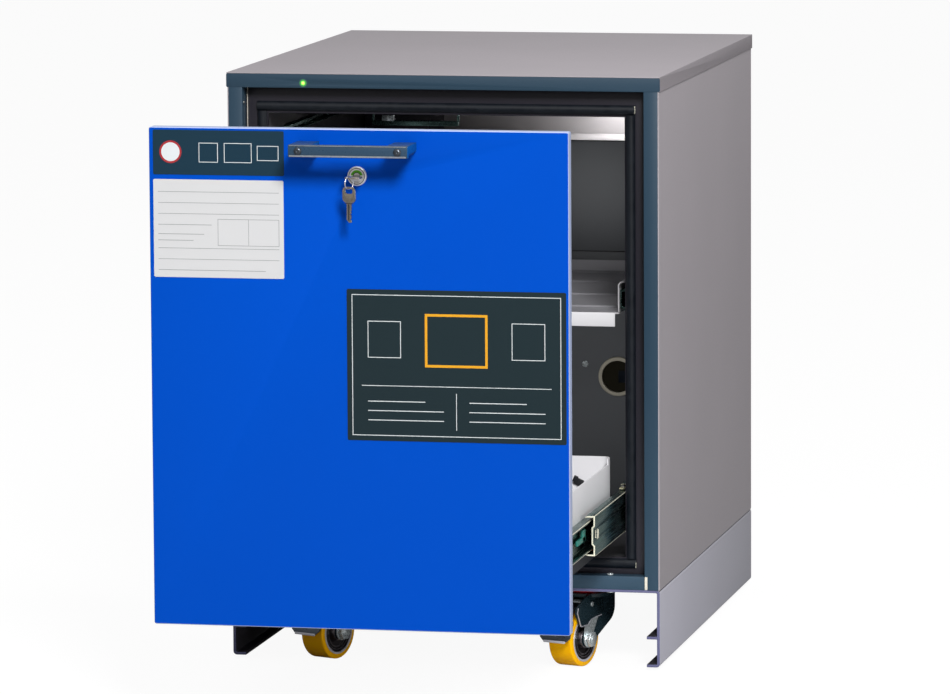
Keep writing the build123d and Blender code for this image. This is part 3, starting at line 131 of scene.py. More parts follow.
def blank(name, **constants):
    """Material with a Principled shader; constants go straight to its own sockets."""
    material = bpy.data.materials.new(name)
    material.use_nodes = True
    tree = material.node_tree
    tree.nodes.clear()
    shader = add(tree, "ShaderNodeBsdfPrincipled",
                 {key.replace("_", " ").title().replace("Ior", "IOR"): value
                  for key, value in constants.items()})
    add(tree, "ShaderNodeOutputMaterial", {"Surface": shader.outputs["BSDF"]})
    place = add(tree, "ShaderNodeTexCoord").outputs["Object"]
    return material, tree, shader, place


def cloud(tree, place, size_mm, detail=2.0, stretch=(1, 1, 1)):
    """Noise whose blotches are about size_mm wide; stretch pulls it out along an axis."""
    spot = add(tree, "ShaderNodeMapping", {"Vector": place, "Scale": stretch}).outputs["Vector"]
    noise = add(tree, "ShaderNodeTexNoise",
                {"Vector": spot, "Scale": 1000.0 / size_mm, "Detail": detail})
    return noise.outputs["Fac"]


def surface(tree, shader, tone, colours, grain, roughness, height_mm, bumps=None):
    """Colour drifts between two with tone, roughness between two with grain; grain or bumps rises."""
    drift = add(tree, "ShaderNodeMix", {0: tone, 6: colours[0], 7: colours[1]}, data_type="RGBA")
    sheen = add(tree, "ShaderNodeMapRange", {"Value": grain, "From Min": 0.3, "From Max": 0.7,
                                             "To Min": roughness[0], "To Max": roughness[1]})
    bump = add(tree, "ShaderNodeBump", {"Height": bumps or grain, "Distance": height_mm * MM,
                                        "Strength": 1.0})
    tree.links.new(drift.outputs[2], shader.inputs["Base Color"])
    tree.links.new(sheen.outputs["Result"], shader.inputs["Roughness"])
    tree.links.new(bump.outputs["Normal"], shader.inputs["Normal"])


def coated_sheet(name, base, rough=0.42, texture_mm=2.4, height_mm=0.03, drift=0.03, shine=0.35):
    """Powder-coated steel: fused polyester, an even satin skin with fine orange peel.

    Real peel is about 1 mm across; it is drawn at 2 mm and more so that it shows in the render.
    """
    material, tree, shader, place = blank(name, metallic=0.0, specular_ior_level=shine)
    surface(tree, shader, cloud(tree, place, 160.0), (scaled(base, 1 - drift), scaled(base, 1 + drift)),
            cloud(tree, place, texture_mm, 3.0), (rough - 0.04, rough + 0.05), height_mm)
    return material


def scaled(base, factor):
    """Colour lightened or darkened by a factor."""
    return [min(1.0, c * factor) for c in base[:3]] + [1.0]


def drawn_zinc(name, base, rough=0.32, axis=1, dark=0.75):
    """Zinc-plated strip: rolled steel with plating, streaked along the rolling direction.

    Streaks are about 1.5 mm wide and 60 mm long.
    """
    material, tree, shader, place = blank(name, metallic=1.0)
    stretch = [1.0, 1.0, 1.0]
    stretch[axis] = 0.03
    streak = cloud(tree, place, 1.8, 4.0, stretch)
    bloom = cloud(tree, place, 22.0, 3.0)
    both = add(tree, "ShaderNodeMath", {0: streak, 1: bloom}, operation="MULTIPLY").outputs["Value"]
    tone = add(tree, "ShaderNodeMapRange", {"Value": both, "From Min": 0.3, "From Max": 0.7})
    surface(tree, shader, tone.outputs["Result"], (scaled(base, dark), base),
            streak, (rough - 0.08, rough + 0.12), 0.02)
    return material


def bright_plate(name, base, rough=0.16, metal=1.0):
    """Nickel- or zinc-plated small parts: tumbled smooth, with faint handling marks."""
    material, tree, shader, place = blank(name, metallic=metal)
    marks = cloud(tree, place, 3.0, 4.0, (1, 6, 1))
    surface(tree, shader, marks, (scaled(base, 0.82), base), marks, (rough - 0.06, rough + 0.14), 0.01)
    return material


def moulded(name, base, rough=0.5, grain_mm=1.2, height_mm=0.02, drift=0.08, shine=0.5):
    """Injection-moulded plastic: spark-eroded grain, slightly shiny on high spots."""
    material, tree, shader, place = blank(name, metallic=0.0, specular_ior_level=shine)
    surface(tree, shader, cloud(tree, place, 40.0), (scaled(base, 1 - drift), scaled(base, 1 + drift)),
            cloud(tree, place, grain_mm), (rough - 0.06, rough + 0.08), height_mm)
    return material


def extruded_rubber(name, base):
    """EPDM seal: extruded, dull, with fine lines along its length and a grey bloom."""
    material, tree, shader, place = blank(name, metallic=0.0, ior=1.52, specular_ior_level=0.3)
    bloom = cloud(tree, place, 12.0, 4.0)
    surface(tree, shader, bloom, (scaled(base, 0.7), scaled(base, 1.8)), bloom, (0.38, 0.6), 0.03,
            bumps=cloud(tree, place, 1.5, 2.0, (1, 1, 0.1)))
    return material


def cast_polyurethane(name, base):
    """Cast tread: slightly translucent amber, glossy at the moulded edge and scuffed where it rolls."""
    material, tree, shader, place = blank(name, metallic=0.0, ior=1.5, specular_ior_level=0.15,
                                          subsurface_weight=0.1, subsurface_scale=0.004)
    surface(tree, shader, cloud(tree, place, 18.0), (scaled(base, 0.94), scaled(base, 1.1)),
            cloud(tree, place, 3.5, 5.0, (1, 1, 0.5)), (0.28, 0.5), 0.05)
    return material


def light_diode(name, base):
    """Clear light diode: tinted epoxy, lit from inside."""
    material, tree, shader, place = blank(name, metallic=0.0, roughness=0.1, emission_strength=6.0)
    shader.inputs["Emission Color"].default_value = base
    tone = add(tree, "ShaderNodeMix", {0: cloud(tree, place, 1.0), 6: scaled(base, 0.8), 7: base},
               data_type="RGBA")
    tree.links.new(tone.outputs[2], shader.inputs["Base Color"])
    return material


def halo_light(name, base, shine):
    """Coated rail lit green around the diode: the glow fades out towards its radius."""
    material, tree, shader, place = blank(name, metallic=0.0, roughness=0.45, specular_ior_level=0.25)
    shader.inputs["Base Color"].default_value = base
    shader.inputs["Emission Color"].default_value = shine
    away = add(tree, "ShaderNodeVectorMath", {0: place}, operation="SUBTRACT")
    away.name = "middle"
    far = add(tree, "ShaderNodeVectorMath", {0: away.outputs[0]}, operation="LENGTH").outputs["Value"]
    near = add(tree, "ShaderNodeMapRange",
               {"Value": far, "From Min": 1 * MM, "From Max": GLOW_RADIUS * MM, "To Min": 1.0,
                "To Max": 0.0}).outputs["Result"]
    faded = add(tree, "ShaderNodeMath", {0: near, 1: 1.4}, operation="POWER").outputs[0]
    tree.links.new(faded, shader.inputs["Emission Strength"])
    return material


FINISHES = {}


def finishes():
    """Make each finish once."""
    if FINISHES:
        return FINISHES
    c = bpy.context.scene.cabinet_finish
    FINISHES.update({
        "grey_powder": coated_sheet("powder_coat_light_grey", list(c.grey), 0.45, shine=0.15),
        # Darker copy of the grey coat for the cap's side faces: painted shade.
        "cap_edge": coated_sheet("powder_coat_cap_edge", linear("989297"), 0.45, shine=0.15),
        # Grey copy of the white coat for the tray's inner faces: painted shade.
        "tray_inside": coated_sheet("powder_coat_tray_floor", linear("96959A"), 0.45, shine=0.2),
        # Fan grille in the vent, near black as painted shade inside the hole.
        "fan_shade": moulded("moulded_fan_grille", linear("1F1D16"), 0.6, shine=0.1),
        # Skirt coat: its own bluish grey, lightened as painted bounce light from the floor.
        "skirt_powder": coated_sheet("powder_coat_skirt_grey", list(c.skirt), 0.4, shine=0.2),
        "anthracite_powder": coated_sheet("powder_coat_anthracite", list(c.anthracite), 0.4, shine=0.25),
        "blue_powder": coated_sheet("powder_coat_signal_blue", list(c.blue), 0.36, 3.0, 0.02, 0.02, 0.05),
        "white_powder": coated_sheet("powder_coat_white", list(c.white), 0.4),
        # Dark lining: painted shade on the inner sides, floor and ceiling.
        "lining": coated_sheet("coil_coated_lining", list(c.lining), 0.45),
        "pale_lining": coated_sheet("coil_coated_rear_lining", list(c.rear_lining), 0.42),
        "dark_powder": coated_sheet("powder_coat_dark_grey", list(c.cover), 0.5),
        "black_powder": coated_sheet("powder_coat_black", list(c.black), 0.38),
        "handle_coat": coated_sheet("anodised_handle_bar", list(c.handle), 0.3, 2.0, 0.01),
        "fork_coat": coated_sheet("passivated_fork_steel", linear("1A282E"), 0.28, 2.0, 0.03, 0.2),
        "galvanised": drawn_zinc("zinc_plated_runner_strip", linear("6B8984"), 0.24),
        "bright_zinc": bright_plate("bright_zinc_fasteners", linear("DDE6E8"), 0.24, 0.7),
        "chrome": bright_plate("nickel_plated_small_parts", linear("E2E2DE"), 0.2),
        "satin_nickel": bright_plate("satin_nickel_lock_rose", linear("F6F4F2"), 0.36, 0.7),
        "dark_screw": bright_plate("blackened_screw_steel", linear("5A6068"), 0.3),
        # Bright edge finish: sheared ends and stamped stops of the runners, and painted highlights on
        # runner edges and at the seal's ends.
        "cut_edge_and_highlight": bright_plate("sheared_zinc_edge", linear("F4F1DC"), 0.5, 0.5),
        "teal_plastic": moulded("moulded_teal_lever", linear("28786C"), 0.4),
        "cage_cream": moulded("moulded_cream_cage", linear("C9C3A0"), 0.4),
        # Dark grey for the skirts' inner faces and the base's upward faces under the cabinet: painted
        # shade.
        "skirt_inner": coated_sheet("primed_skirt_inside", linear("2E2D32"), 0.5, shine=0.1),
        # Darker bluish copy of the skirt coat for its front-facing faces: painted shade.
        "skirt_edge": coated_sheet("powder_coat_skirt_edge", linear("5C5D7E"), 0.4),
        # Bright alloy for the wheel rims, also used as painted highlight on the guards' edges and the
        # pedals' lips.
        "rim_alloy": bright_plate("faced_wheel_rim", linear("DCDCE6"), 0.36, 0.5),
        # Dark coat for hub recesses, the duct, the lock's window edge, the rosette line and key grooves:
        # painted shade in hollows and grooves.
        "recess_dark": moulded("dark_recess_coat", linear("2A2628"), 0.45),
        # Brighter teal-blue for the bar's end faces: painted light, as the lit end looks.
        "handle_end": coated_sheet("anodised_handle_end", linear("0E5C94"), 0.3, 2.0, 0.01),
        # Pale strips on the bar's upper and lower chamfers: painted highlights.
        "handle_line": bright_plate("worn_handle_edge", linear("B9BEC6"), 0.4),
        "steel_balls": bright_plate("polished_bearing_steel", linear("DADADA"), 0.1),
        "hub_alloy": bright_plate("turned_wheel_alloy", linear("9A9498"), 0.3),
        "halo": halo_light("diode_glow_on_coat", list(c.anthracite), linear("7CFF3A")),
        "seal_rubber": extruded_rubber("extruded_seal_rubber", linear("0A0F16")),
        "fire_board": moulded("pressed_mineral_board", linear("D9D4C6"), 0.85, 3.0, 0.15),
        "black_plastic": moulded("moulded_black_plastic", linear("141519"), 0.42),
        "grey_plastic": moulded("moulded_warm_grey_plastic", linear("A39E90"), 0.5),
        "orange_plastic": moulded("moulded_orange_cage", linear("D96A1E"), 0.4),
        "amber_tread": cast_polyurethane("cast_amber_polyurethane", list(c.amber)),
        "red_plastic": moulded("moulded_red_ring", list(c.red), 0.35),
        "green_light": light_diode("lit_green_diode", linear("7CFF3A")),
        "green_plastic": moulded("moulded_green_window", linear("58B814"), 0.35),
        "pale_print": moulded("screen_print_pale", linear("DDE2E4"), 0.4, 1.6, 0.004),
        "grey_print": moulded("screen_print_grey", linear("6E7376"), 0.4, 1.6, 0.004),
        "amber_print": moulded("screen_print_amber", linear("E9A414"), 0.4, 1.6, 0.004),
        "red_print": moulded("screen_print_red", linear("A8262C"), 0.4, 1.6, 0.004),
        "key_metal": bright_plate("worn_key_nickel_silver", linear("B0A79C"), 0.26),
        "plate": moulded("printed_plate_dark", list(c.plate), 0.5, 1.6, 0.006, 0.02, 0.15),
        "plate_wide": moulded("printed_plate_dark_wide", list(c.plate_wide), 0.5, 1.6, 0.006, 0.02, 0.15),
        "paper": moulded("printed_plate_white", list(c.paper), 0.45, 1.6, 0.006, 0.01),
        "blue_edge": coated_sheet("powder_coat_blue_edge", list(c.blue_edge), 0.4, 3.0, 0.02, 0.02),
    })
    return FINISHES


def slot_of(node):
    """Material slot the record gives a CAD node."""
    for row in FRAME["record"]["subparts"]:
        if row["node"] == node:
            return row["material_slot"]
    raise RuntimeError(f"no slot for {node}")


def body_of(node):
    """Body a CAD node belongs to."""
    for body, members in FRAME["record"]["behaviour"]["bodies"].items():
        if node in members:
            return body
    raise RuntimeError(f"no body for {node}")


def sharpen(mesh, angle):
    """Smooth shading with sharp edges above an angle in degrees."""
    mesh.shade_smooth()
    mesh.set_sharp_from_angle(angle=math.radians(angle))


def piece(name, mesh_data, finish, body, replaces=(), smooth=35.0):
    """Turn a bmesh into a named piece that rides on a body."""
    mesh = bpy.data.meshes.new(name)
    mesh_data.to_mesh(mesh)
    mesh_data.free()
    sharpen(mesh, smooth)
    obj = bpy.data.objects.new(name, mesh)
    bpy.context.scene.collection.objects.link(obj)
    mesh.materials.append(finishes()[finish])
    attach(obj, body)
    if replaces:
        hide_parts(*replaces)
    return obj


def merged_copy(node):
    """Merged copy of a CAD node's mesh, with flat faces joined up."""
    work = bmesh.new()
    work.from_mesh(FRAME["nodes"][node].data)
    bmesh.ops.remove_doubles(work, verts=work.verts, dist=2e-6)
    bmesh.ops.dissolve_limit(work, angle_limit=math.radians(0.8), verts=work.verts, edges=work.edges)
    return work


def break_edges(work, radius_mm, angle=40.0, segments=2):
    """Round the sharp edges of a mesh slightly, as a press brake or a tumbler leaves them."""
    if radius_mm > 0:
        sharp = [e for e in work.edges
                 if len(e.link_faces) == 2 and e.calc_face_angle(0) > math.radians(angle)]
        bmesh.ops.bevel(work, geom=sharp, offset=radius_mm * MM, segments=segments, profile=0.5,
                        affect="EDGES", clamp_overlap=True, material=-1)


def dress(node, finish=None, radius_mm=0.5, angle=40.0, segments=2):
    """Piece that stands for a CAD node: the same form with broken edges and its finish."""
    work = merged_copy(node)
    break_edges(work, radius_mm, angle, segments)
    slot = slot_of(node)
    return piece(f"{node}_formed", work, finish or slot, body_of(node), (node,))


def slab(work, x0, x1, y0, y1, z0, z1):
    """Add a box with the given faces, in millimetres."""
    made = bmesh.ops.create_cube(work, size=MM)["verts"]
    bmesh.ops.scale(work, vec=(x1 - x0, y1 - y0, z1 - z0), verts=made)
    bmesh.ops.translate(work, vec=((x0 + x1) / 2 * MM, (y0 + y1) / 2 * MM, (z0 + z1) / 2 * MM), verts=made)
    return made


def box_mm(node):
    """Lowest and highest corners of a CAD node at rest, in millimetres."""
    return tuple(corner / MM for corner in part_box(node))


def drum(work, centre, radius, depth, axis="Y", segments=40):
    """Add a solid drum along an axis; centre, radius and depth are millimetres."""
    turn = {"X": Matrix.Rotation(math.pi / 2, 4, "Y"), "Y": Matrix.Rotation(math.pi / 2, 4, "X"),
            "Z": Matrix.Identity(4)}[axis]
    place = Matrix.Translation(Vector(centre) * MM) @ turn
    return bmesh.ops.create_cone(work, cap_ends=True, segments=segments, radius1=radius * MM,
                                 radius2=radius * MM, depth=depth * MM, matrix=place)["verts"]


def outline(x0, x1, z0, z1, width):
    """Four bars that make an empty frame."""
    return [(x0, x1, z1 - width, z1), (x0, x1, z0, z0 + width), (x0, x0 + width, z0 + width, z1 - width),
            (x1 - width, x1, z0 + width, z1 - width)]


def bar_print(name, finish, bars, face):
    """Printed bars of one colour on the face of a plate, as one thin piece."""
    work = bmesh.new()
    for x0, x1, z0, z1 in bars:
        slab(work, x0, x1, face - 0.07, face + 0.03, z0, z1)
    piece(name, work, finish, "drawer")


def extruded(work, outline_points, x0, x1):
    """Add a plate whose outline lies in the YZ plane, between two X values, in millimetres."""
    low = [work.verts.new((x0 * MM, y * MM, z * MM)) for y, z in outline_points]
    face = work.faces.new(low)
    made = bmesh.ops.extrude_face_region(work, geom=[face])["geom"]
    verts = [item for item in made if isinstance(item, bmesh.types.BMVert)]
    bmesh.ops.translate(work, vec=((x1 - x0) * MM, 0, 0), verts=verts)
    bmesh.ops.recalc_face_normals(work, faces=work.faces)
    return low + verts


def hoop(work, inner, outer, x0, x1):
    """Add a flat ring round the X axis; radii and end planes are millimetres."""
    section = ((x0, inner), (x0, outer), (x1, outer), (x1, inner))
    corners = [work.verts.new((x * MM, 0.0, r * MM)) for x, r in section]
    edges = [work.edges.new((corners[i], corners[(i + 1) % 4])) for i in range(4)]
    before = set(work.faces)
    bmesh.ops.spin(work, geom=corners + edges, cent=(0, 0, 0), axis=(1, 0, 0), angle=math.tau, steps=56,
                   use_merge=True)
    bmesh.ops.recalc_face_normals(work, faces=[face for face in work.faces if face not in before])


def fork_reach():
    """Half of the width over the cheeks of a swivel fork, in millimetres."""
    return box_mm("rear_forks")[1].x - joint_of("roll_rear_right")["pos_m"][0] / MM


def repaint(obj, finish, chosen):
    """Give the faces that a test picks by middle and normal, in millimetres, another finish."""
    obj.data.materials.append(finishes()[finish])
    last = len(obj.data.materials) - 1
    for face in obj.data.polygons:
        if chosen(face.center / MM, face.normal):
            face.material_index = last


def box_piece(name, finish, body, boxes, radius_mm=0.0):
    """Piece made of one or more boxes given by their faces, in millimetres."""
    work = bmesh.new()
    for box in boxes:
        slab(work, *box)
    break_edges(work, radius_mm)
    return piece(name, work, finish, body)


def joint_of(name):
    """Joint of the record by its name."""
    return next(j for j in FRAME["record"]["behaviour"]["joints"] if j["name"] == name)


def along_joint(joint):
    """Placement at a level joint, with X along its axis."""
    turn = Matrix.Rotation(math.atan2(joint["axis"][1], joint["axis"][0]), 4, "Z")
    return Matrix.Translation(Vector(joint["pos_m"])) @ turn


def coat(node):
    """Give a CAD node that stays its procedural material."""
    obj = FRAME["nodes"][node]
    obj.data.materials.clear()
    obj.data.materials.append(finishes()[slot_of(node)])


class BuildOperator:
    """Shared settings of the building operators."""
    bl_options = {"REGISTER", "UNDO"}


class CABINET_OT_shell(BuildOperator, bpy.types.Operator):
    """Form the outer sheet metal of the cabinet"""
    bl_idname = "cabinet.shell"
    bl_label = "Outer Shell"

    def execute(self, context):
        edge = context.scene.cabinet_sizes.edge
        cap = dress("top_cover", radius_mm=0.7)
        # The cap's side faces take the darker copy of its grey as painted shade.
        repaint(cap, "cap_edge", lambda at, out: abs(out.x) > 0.7)
        dress("front_top_rail", radius_mm=0.25)
        dress("side_panels", radius_mm=0.2)
        dress("front_posts", radius_mm=0.35)
        dress("front_bottom_rail", radius_mm=0.35)
        base = dress("base_chassis", finish="skirt_powder", radius_mm=edge * 0.6)
        front = box_mm("base_chassis")[0].y
        # Inner faces of the skirts and upward faces low in the base get painted shade.
        repaint(base, "skirt_inner", lambda at, out: at.z < 108 and (
            out.x * at.x < 0 and abs(out.x) > 0.5 or out.z > 0.5))
        # Front-facing faces at the front of the base get the darker copy of the skirt coat as painted
        # shade.
        repaint(base, "skirt_edge", lambda at, out: out.y < -0.5 and at.y < front + 1)
        box_piece("board_edge", "fire_board", "cabinet", [(-272.9, -272.2, -72.0, -70.2, 129.0, 779.0)])
        self.glow()
        dress("rear_panel", radius_mm=0.2)
        low, high = box_mm("rear_panel")
        work = bmesh.new()
        for x in (low.x + 11, high.x - 11):
            for step in range(5):
                z = low.z + 16 + step * (high.z - low.z - 32) / 4
                drum(work, (x, high.y + 0.5, z), 4.0, 1.2, segments=24)
        for x in (-95, 95):
            drum(work, (x, high.y + 0.5, high.z - 16), 4.0, 1.2, segments=24)
        break_edges(work, 0.4)
        piece("rear_panel_screws", work, "bright_zinc", "cabinet")
        for node in ("status_led", "air_spigots", "mains_inlet"):
            dress(node, radius_mm=0.2)
        return {"FINISHED"}

    def glow(self):
        """Soft green light that the diode throws on the rail around it."""
        low, high = box_mm("status_led")
        spot = ((low.x + high.x) / 2, box_mm("front_top_rail")[0].y - 0.05, (low.z + high.z) / 2)
        work = bmesh.new()
        drum(work, spot, GLOW_RADIUS + 0.2, 0.06, segments=48)
        halo = piece("diode_glow", work, "halo", "cabinet")
        tree = finishes()["halo"].node_tree
        tree.nodes["middle"].inputs[1].default_value = Vector(spot) * MM
        halo.visible_shadow = False


class CABINET_OT_inside(BuildOperator, bpy.types.Operator):
    """Form the frame, seal, lining, duct and covers inside"""
    bl_idname = "cabinet.inside"
    bl_label = "Inside"

    def execute(self, context):
        dress("recess_frame", radius_mm=0.4)
        dress("door_seal", radius_mm=0.0)
        for node in ("liner_sides", "liner_levels", "drawer_inner_panel"):
            dress(node, radius_mm=0.3)
        dress("liner_rear", finish="pale_lining", radius_mm=0.0)
        # The duct's body is darkened as painted shade inside the cabinet and behind the vent; its top keeps
        # the pale lining.
        duct = dress("air_duct", finish="recess_dark", radius_mm=0.3)
        top = box_mm("air_duct")[1].z
        repaint(duct, "pale_lining", lambda at, out: at.z > top - 0.5)
        self.fittings()
        dress("fan_box", radius_mm=0.4)
        dress("rear_covers", radius_mm=0.4)
        dress("vent_collar", radius_mm=0.3)
        low, high = box_mm("vent_collar")
        x, z = (low.x + high.x) / 2, (low.z + high.z) / 2
        # Dark disc inside the vent: a fan grille, darkened further as painted shade inside the hole.
        work = bmesh.new()
        drum(work, (x, high.y - 0.4, z), high.x - x - 3.0, 0.6, segments=48)
        piece("fan_guard", work, "fan_shade", "cabinet")
        hub = (x, x + 17, high.y - 2.2, high.y - 0.7, z - 9, z + 8)
        box_piece("fan_hub", "seal_rubber", "cabinet", [hub], 0.6)
        dress("cover_screws", radius_mm=0.5)
        dress("socket_strip", radius_mm=0.5)
        dress("tray_rails", radius_mm=0.3)
        dress("fire_boards", radius_mm=0.3)
        return {"FINISHED"}

    def fittings(self):
        """Rails near the ceiling, small bright clips at the seal's ends that paint its highlights there,
        and a rivet in the left post.
        """
        rails = []
        for side in (-1, 1):
            for inner, z0, z1 in ((236.0, 708.0, 709.6), (244.6, 708.0, 719.0), (236.0, 717.4, 719.0)):
                rails.append((*sorted((side * inner, side * 245.9)), 24.0, 420.0, z0, z1))
        box_piece("upper_rails", "galvanised", "cabinet", rails, radius_mm=0.3)
        box_piece("hanging_rail", "galvanised", "cabinet",
                  [(-186, -62, 304, 312, 694, 701), (-64, -61, 304, 312, 700, 745.6),
                   (-186, -183, 304, 312, 700, 745.6)], radius_mm=0.4)
        box_piece("rail_bracket", "bright_zinc", "cabinet", [(-171, -154, 300, 310, 700.6, 709)],
                  radius_mm=0.8)
        low, high = box_mm("door_seal")
        clip = (high.x - 0.4, high.x + 0.3, low.y + 0.6, low.y + 4.6)
        # Bright clips at the seal's ends, as painted highlights.
        box_piece("seal_ends", "cut_edge_and_highlight", "cabinet",
                  [(*clip, high.z - 11, high.z - 1), (*clip, low.z + 1, low.z + 8)], 0.2)
        work = bmesh.new()
        drum(work, (-273.3, -87.0, 759.2), 2.6, 1.6, "X", 20)
        piece("post_rivet", work, "chrome", "cabinet")


class CABINET_OT_drawer(BuildOperator, bpy.types.Operator):
    """Form the drawer front, its plug and the sump"""
    bl_idname = "cabinet.drawer"
    bl_label = "Drawer"

    def execute(self, context):
        front = dress("drawer_front", radius_mm=0.5)
        self.pale_sides(front)
        self.sump_fittings()
        dress("sump_tray", radius_mm=0.5)
        coat("drawer_core")
        return {"FINISHED"}

    def sump_fittings(self):
        """Clip and press studs on the rear wall inside the sump, and black strips under its sides that
        paint the shade below the runners.
        """
        low, high = box_mm("sump_tray")
        back = high.y - 2.0
        work = bmesh.new()
        slab(work, -6.5, 6.5, -2.4, 0, -5.0, 5.0)
        slab(work, -8.5, -2.5, -4.2, -2.4, -2.0, 7.0)
        break_edges(work, 0.6)
        place = Matrix.Translation(Vector((178.5, back, 249.5)) * MM)
        place = place @ Matrix.Rotation(math.radians(24.0), 4, "Y")
        bmesh.ops.transform(work, verts=work.verts, matrix=place)
        piece("sump_clip", work, "black_plastic", "drawer")
        work = bmesh.new()
        for x, z, r in ((174.0, 225.5, 3.4), (171.5, 213.5, 2.6)):
            drum(work, (x, back - 0.3, z), r, 0.6, segments=24)
        piece("sump_studs", work, "grey_plastic", "drawer")
        # Black strips along the lower edges of the sump's sides: painted shade below the runners.
        shade_strips = [(side * high.x, side * (high.x + 0.6), low.y + 6, high.y - 16, low.z - 0.2, low.z + 15.5)
                for side in (-1, 1)]
        box_piece("sump_edge_strips", "black_plastic", "drawer",
                  [(min(b[:2]), max(b[:2]), *b[2:]) for b in shade_strips])

    def pale_sides(self, front):
        """The thin folded sides of the front get the pale blue as a painted highlight, for the light they
        catch along their whole length.
        """
        low, high = box_mm("drawer_front")
        repaint(front, "blue_edge", lambda at, out: (
            (abs(out.x) > 0.6 and min(at.x - low.x, high.x - at.x) < 1)
            or (abs(out.z) > 0.25 and min(at.z - low.z, high.z - at.z) < 1.2)))


class CABINET_OT_plates(BuildOperator, bpy.types.Operator):
    """Lay the bare plates on the drawer front"""
    bl_idname = "cabinet.plates"
    bl_label = "Bare Plates"

    def execute(self, context):
        thick = context.scene.cabinet_sizes.plate_thickness
        face = box_mm("drawer_front")[0].y
        plates = {
            "plate_upper": (-266, -95, 712, 769, "plate"),
            "plate_type": (-266, -96, 581, 706, "paper"),
            "plate_wide": (-15, 268, 377, 570, "plate_wide"),
        }
        self.prints(face - thick)
        for name, (x0, x1, z0, z1, finish) in plates.items():
            work = bmesh.new()
            slab(work, x0, x1, face - thick, face, z0, z1)
            upright = [e for e in work.edges if abs(e.verts[0].co.y - e.verts[1].co.y) > thick / 2 * MM]
            bmesh.ops.bevel(work, geom=upright, offset=2.0 * MM, segments=5, profile=0.5, affect="EDGES",
                            material=-1)
            piece(name, work, finish, "drawer")
        return {"FINISHED"}

    def prints(self, front):
        """Empty fields and rules, without any lettering or sign."""
        pale = outline(-206, -181, 728, 753, 0.8) + outline(-173, -137, 728, 753, 0.8)
        pale += outline(-130, -102, 731, 750, 0.8)
        pale += outline(-8.5, 261.5, 383.5, 563.5, 0.9) + [(4, 249, 447, 447.8), (126, 126.8, 392, 439)]
        pale += outline(12, 55, 483, 530, 0.9) + outline(198, 241, 483, 530, 0.9)
        pale += [(12, 110, 403, 404), (12, 110, 415, 416), (12, 86, 427, 428)]
        pale += [(143, 241, 403, 404), (143, 241, 415, 416), (143, 217, 427, 428)]
        bar_print("rules_pale", "pale_print", pale, front)
        bar_print("rules_amber", "amber_print", outline(86, 167, 472, 540, 3.2), front)
        grey = [(-260, -102, z, z + 0.45) for z in (690, 676, 662, 618, 604)]
        grey += outline(-182, -102, 622, 656, 0.45) + [(-142, -141.6, 622, 656), (-260, -190, 648, 648.5)]
        grey += [(-260, -200, 636, 636.5), (-260, -214, 628, 628.5), (-260, -120, 590, 590.5)]
        bar_print("rules_grey", "grey_print", grey, front)
        for name, finish, radius, depth in (("badge_rim", "red_print", 14.5, 0.1),
                                            ("badge_field", "pale_print", 12.0, 0.2)):
            work = bmesh.new()
            drum(work, (-243, front, 741), radius, depth, segments=64)
            piece(name, work, finish, "drawer")


class CABINET_OT_handle(BuildOperator, bpy.types.Operator):
    """Form the bar handle and its screws"""
    bl_idname = "cabinet.handle"
    bl_label = "Handle"

    def execute(self, context):
        bar = dress("handle_bar", radius_mm=0.6, segments=3)
        # Both end faces of the bar get the brighter teal-blue as painted light.
        repaint(bar, "handle_end", lambda at, out: abs(out.x) > 0.8)
        dress("handle_screws", finish="dark_screw", radius_mm=0.2)
        # Pale strips along the top and bottom of the bar's front: painted highlights on its chamfers.
        low, high = box_mm("handle_bar")
        run = (low.x + 1.5, high.x - 1.5, low.y - 0.12, low.y + 0.3)
        box_piece("handle_lines", "handle_line", "drawer",
                  [(*run, high.z - 1.3, high.z - 0.5), (*run, low.z + 0.6, low.z + 2.6)])
        return {"FINISHED"}


class CABINET_OT_lock(BuildOperator, bpy.types.Operator):
    """Form the lock, the keys and their ring"""
    bl_idname = "cabinet.lock"
    bl_label = "Lock and Keys"

    def execute(self, context):
        for node in ("lock_rosette", "lock_cylinder"):
            dress(node, finish="satin_nickel", radius_mm=0.25)
        for node in ("turn_key", "spare_key"):
            dress(node, finish="key_metal", radius_mm=0.25)
        dress("key_ring", radius_mm=0.0)
        self.window()
        return {"FINISHED"}

    def window(self):
        """Green half ring in the lock's window with a ring of painted shade round it, a line of painted
        shade round the rosette and grooves on the spare key darkened with painted shade.
        """
        low, high = box_mm("lock_cylinder")
        x, z = (low.x + high.x) / 2, (low.z + high.z) / 2
        there, back = range(10, 171, 8), range(170, 9, -8)
        for name, finish, outer, inner, depth, slot in (
                ("lock_window_edge", "recess_dark", 9.4, 4.1, 0.2, "chrome"),
                ("lock_window_green", "green_plastic", 8.6, 5.0, 0.35, "green_light")):
            arc = [(math.radians(a), r) for r, turns in ((outer, there), (inner, back)) for a in turns]
            work = bmesh.new()
            flat = [work.verts.new(Vector((x + r * math.cos(a), low.y, z + r * math.sin(a))) * MM)
                    for a, r in arc]
            made = bmesh.ops.extrude_face_region(work, geom=[work.faces.new(flat)])["geom"]
            bmesh.ops.translate(work, vec=(0, -depth * MM, 0),
                                verts=[item for item in made if isinstance(item, bmesh.types.BMVert)])
            bmesh.ops.recalc_face_normals(work, faces=work.faces)
            piece(name, work, finish, "drawer")
        work = bmesh.new()
        hoop(work, 9.7, 10.5, 0.0, 0.25)
        place = Matrix.Translation(Vector((x, box_mm("lock_rosette")[0].y - 0.15, z)) * MM)
        bmesh.ops.transform(work, verts=work.verts, matrix=place @ Matrix.Rotation(math.pi / 2, 4, "Z"))
        piece("rosette_line", work, "recess_dark", "drawer")
        work = bmesh.new()
        slab(work, -0.9, 0.7, -1.15, 1.15, -47.5, -27.0)
        slab(work, -6.5, 6.5, -1.1, 1.1, -26.2, -25.4)
        bmesh.ops.transform(work, verts=work.verts, matrix=along_joint(joint_of("keys_swing")))
        piece("key_grooves", work, "recess_dark", "keys")


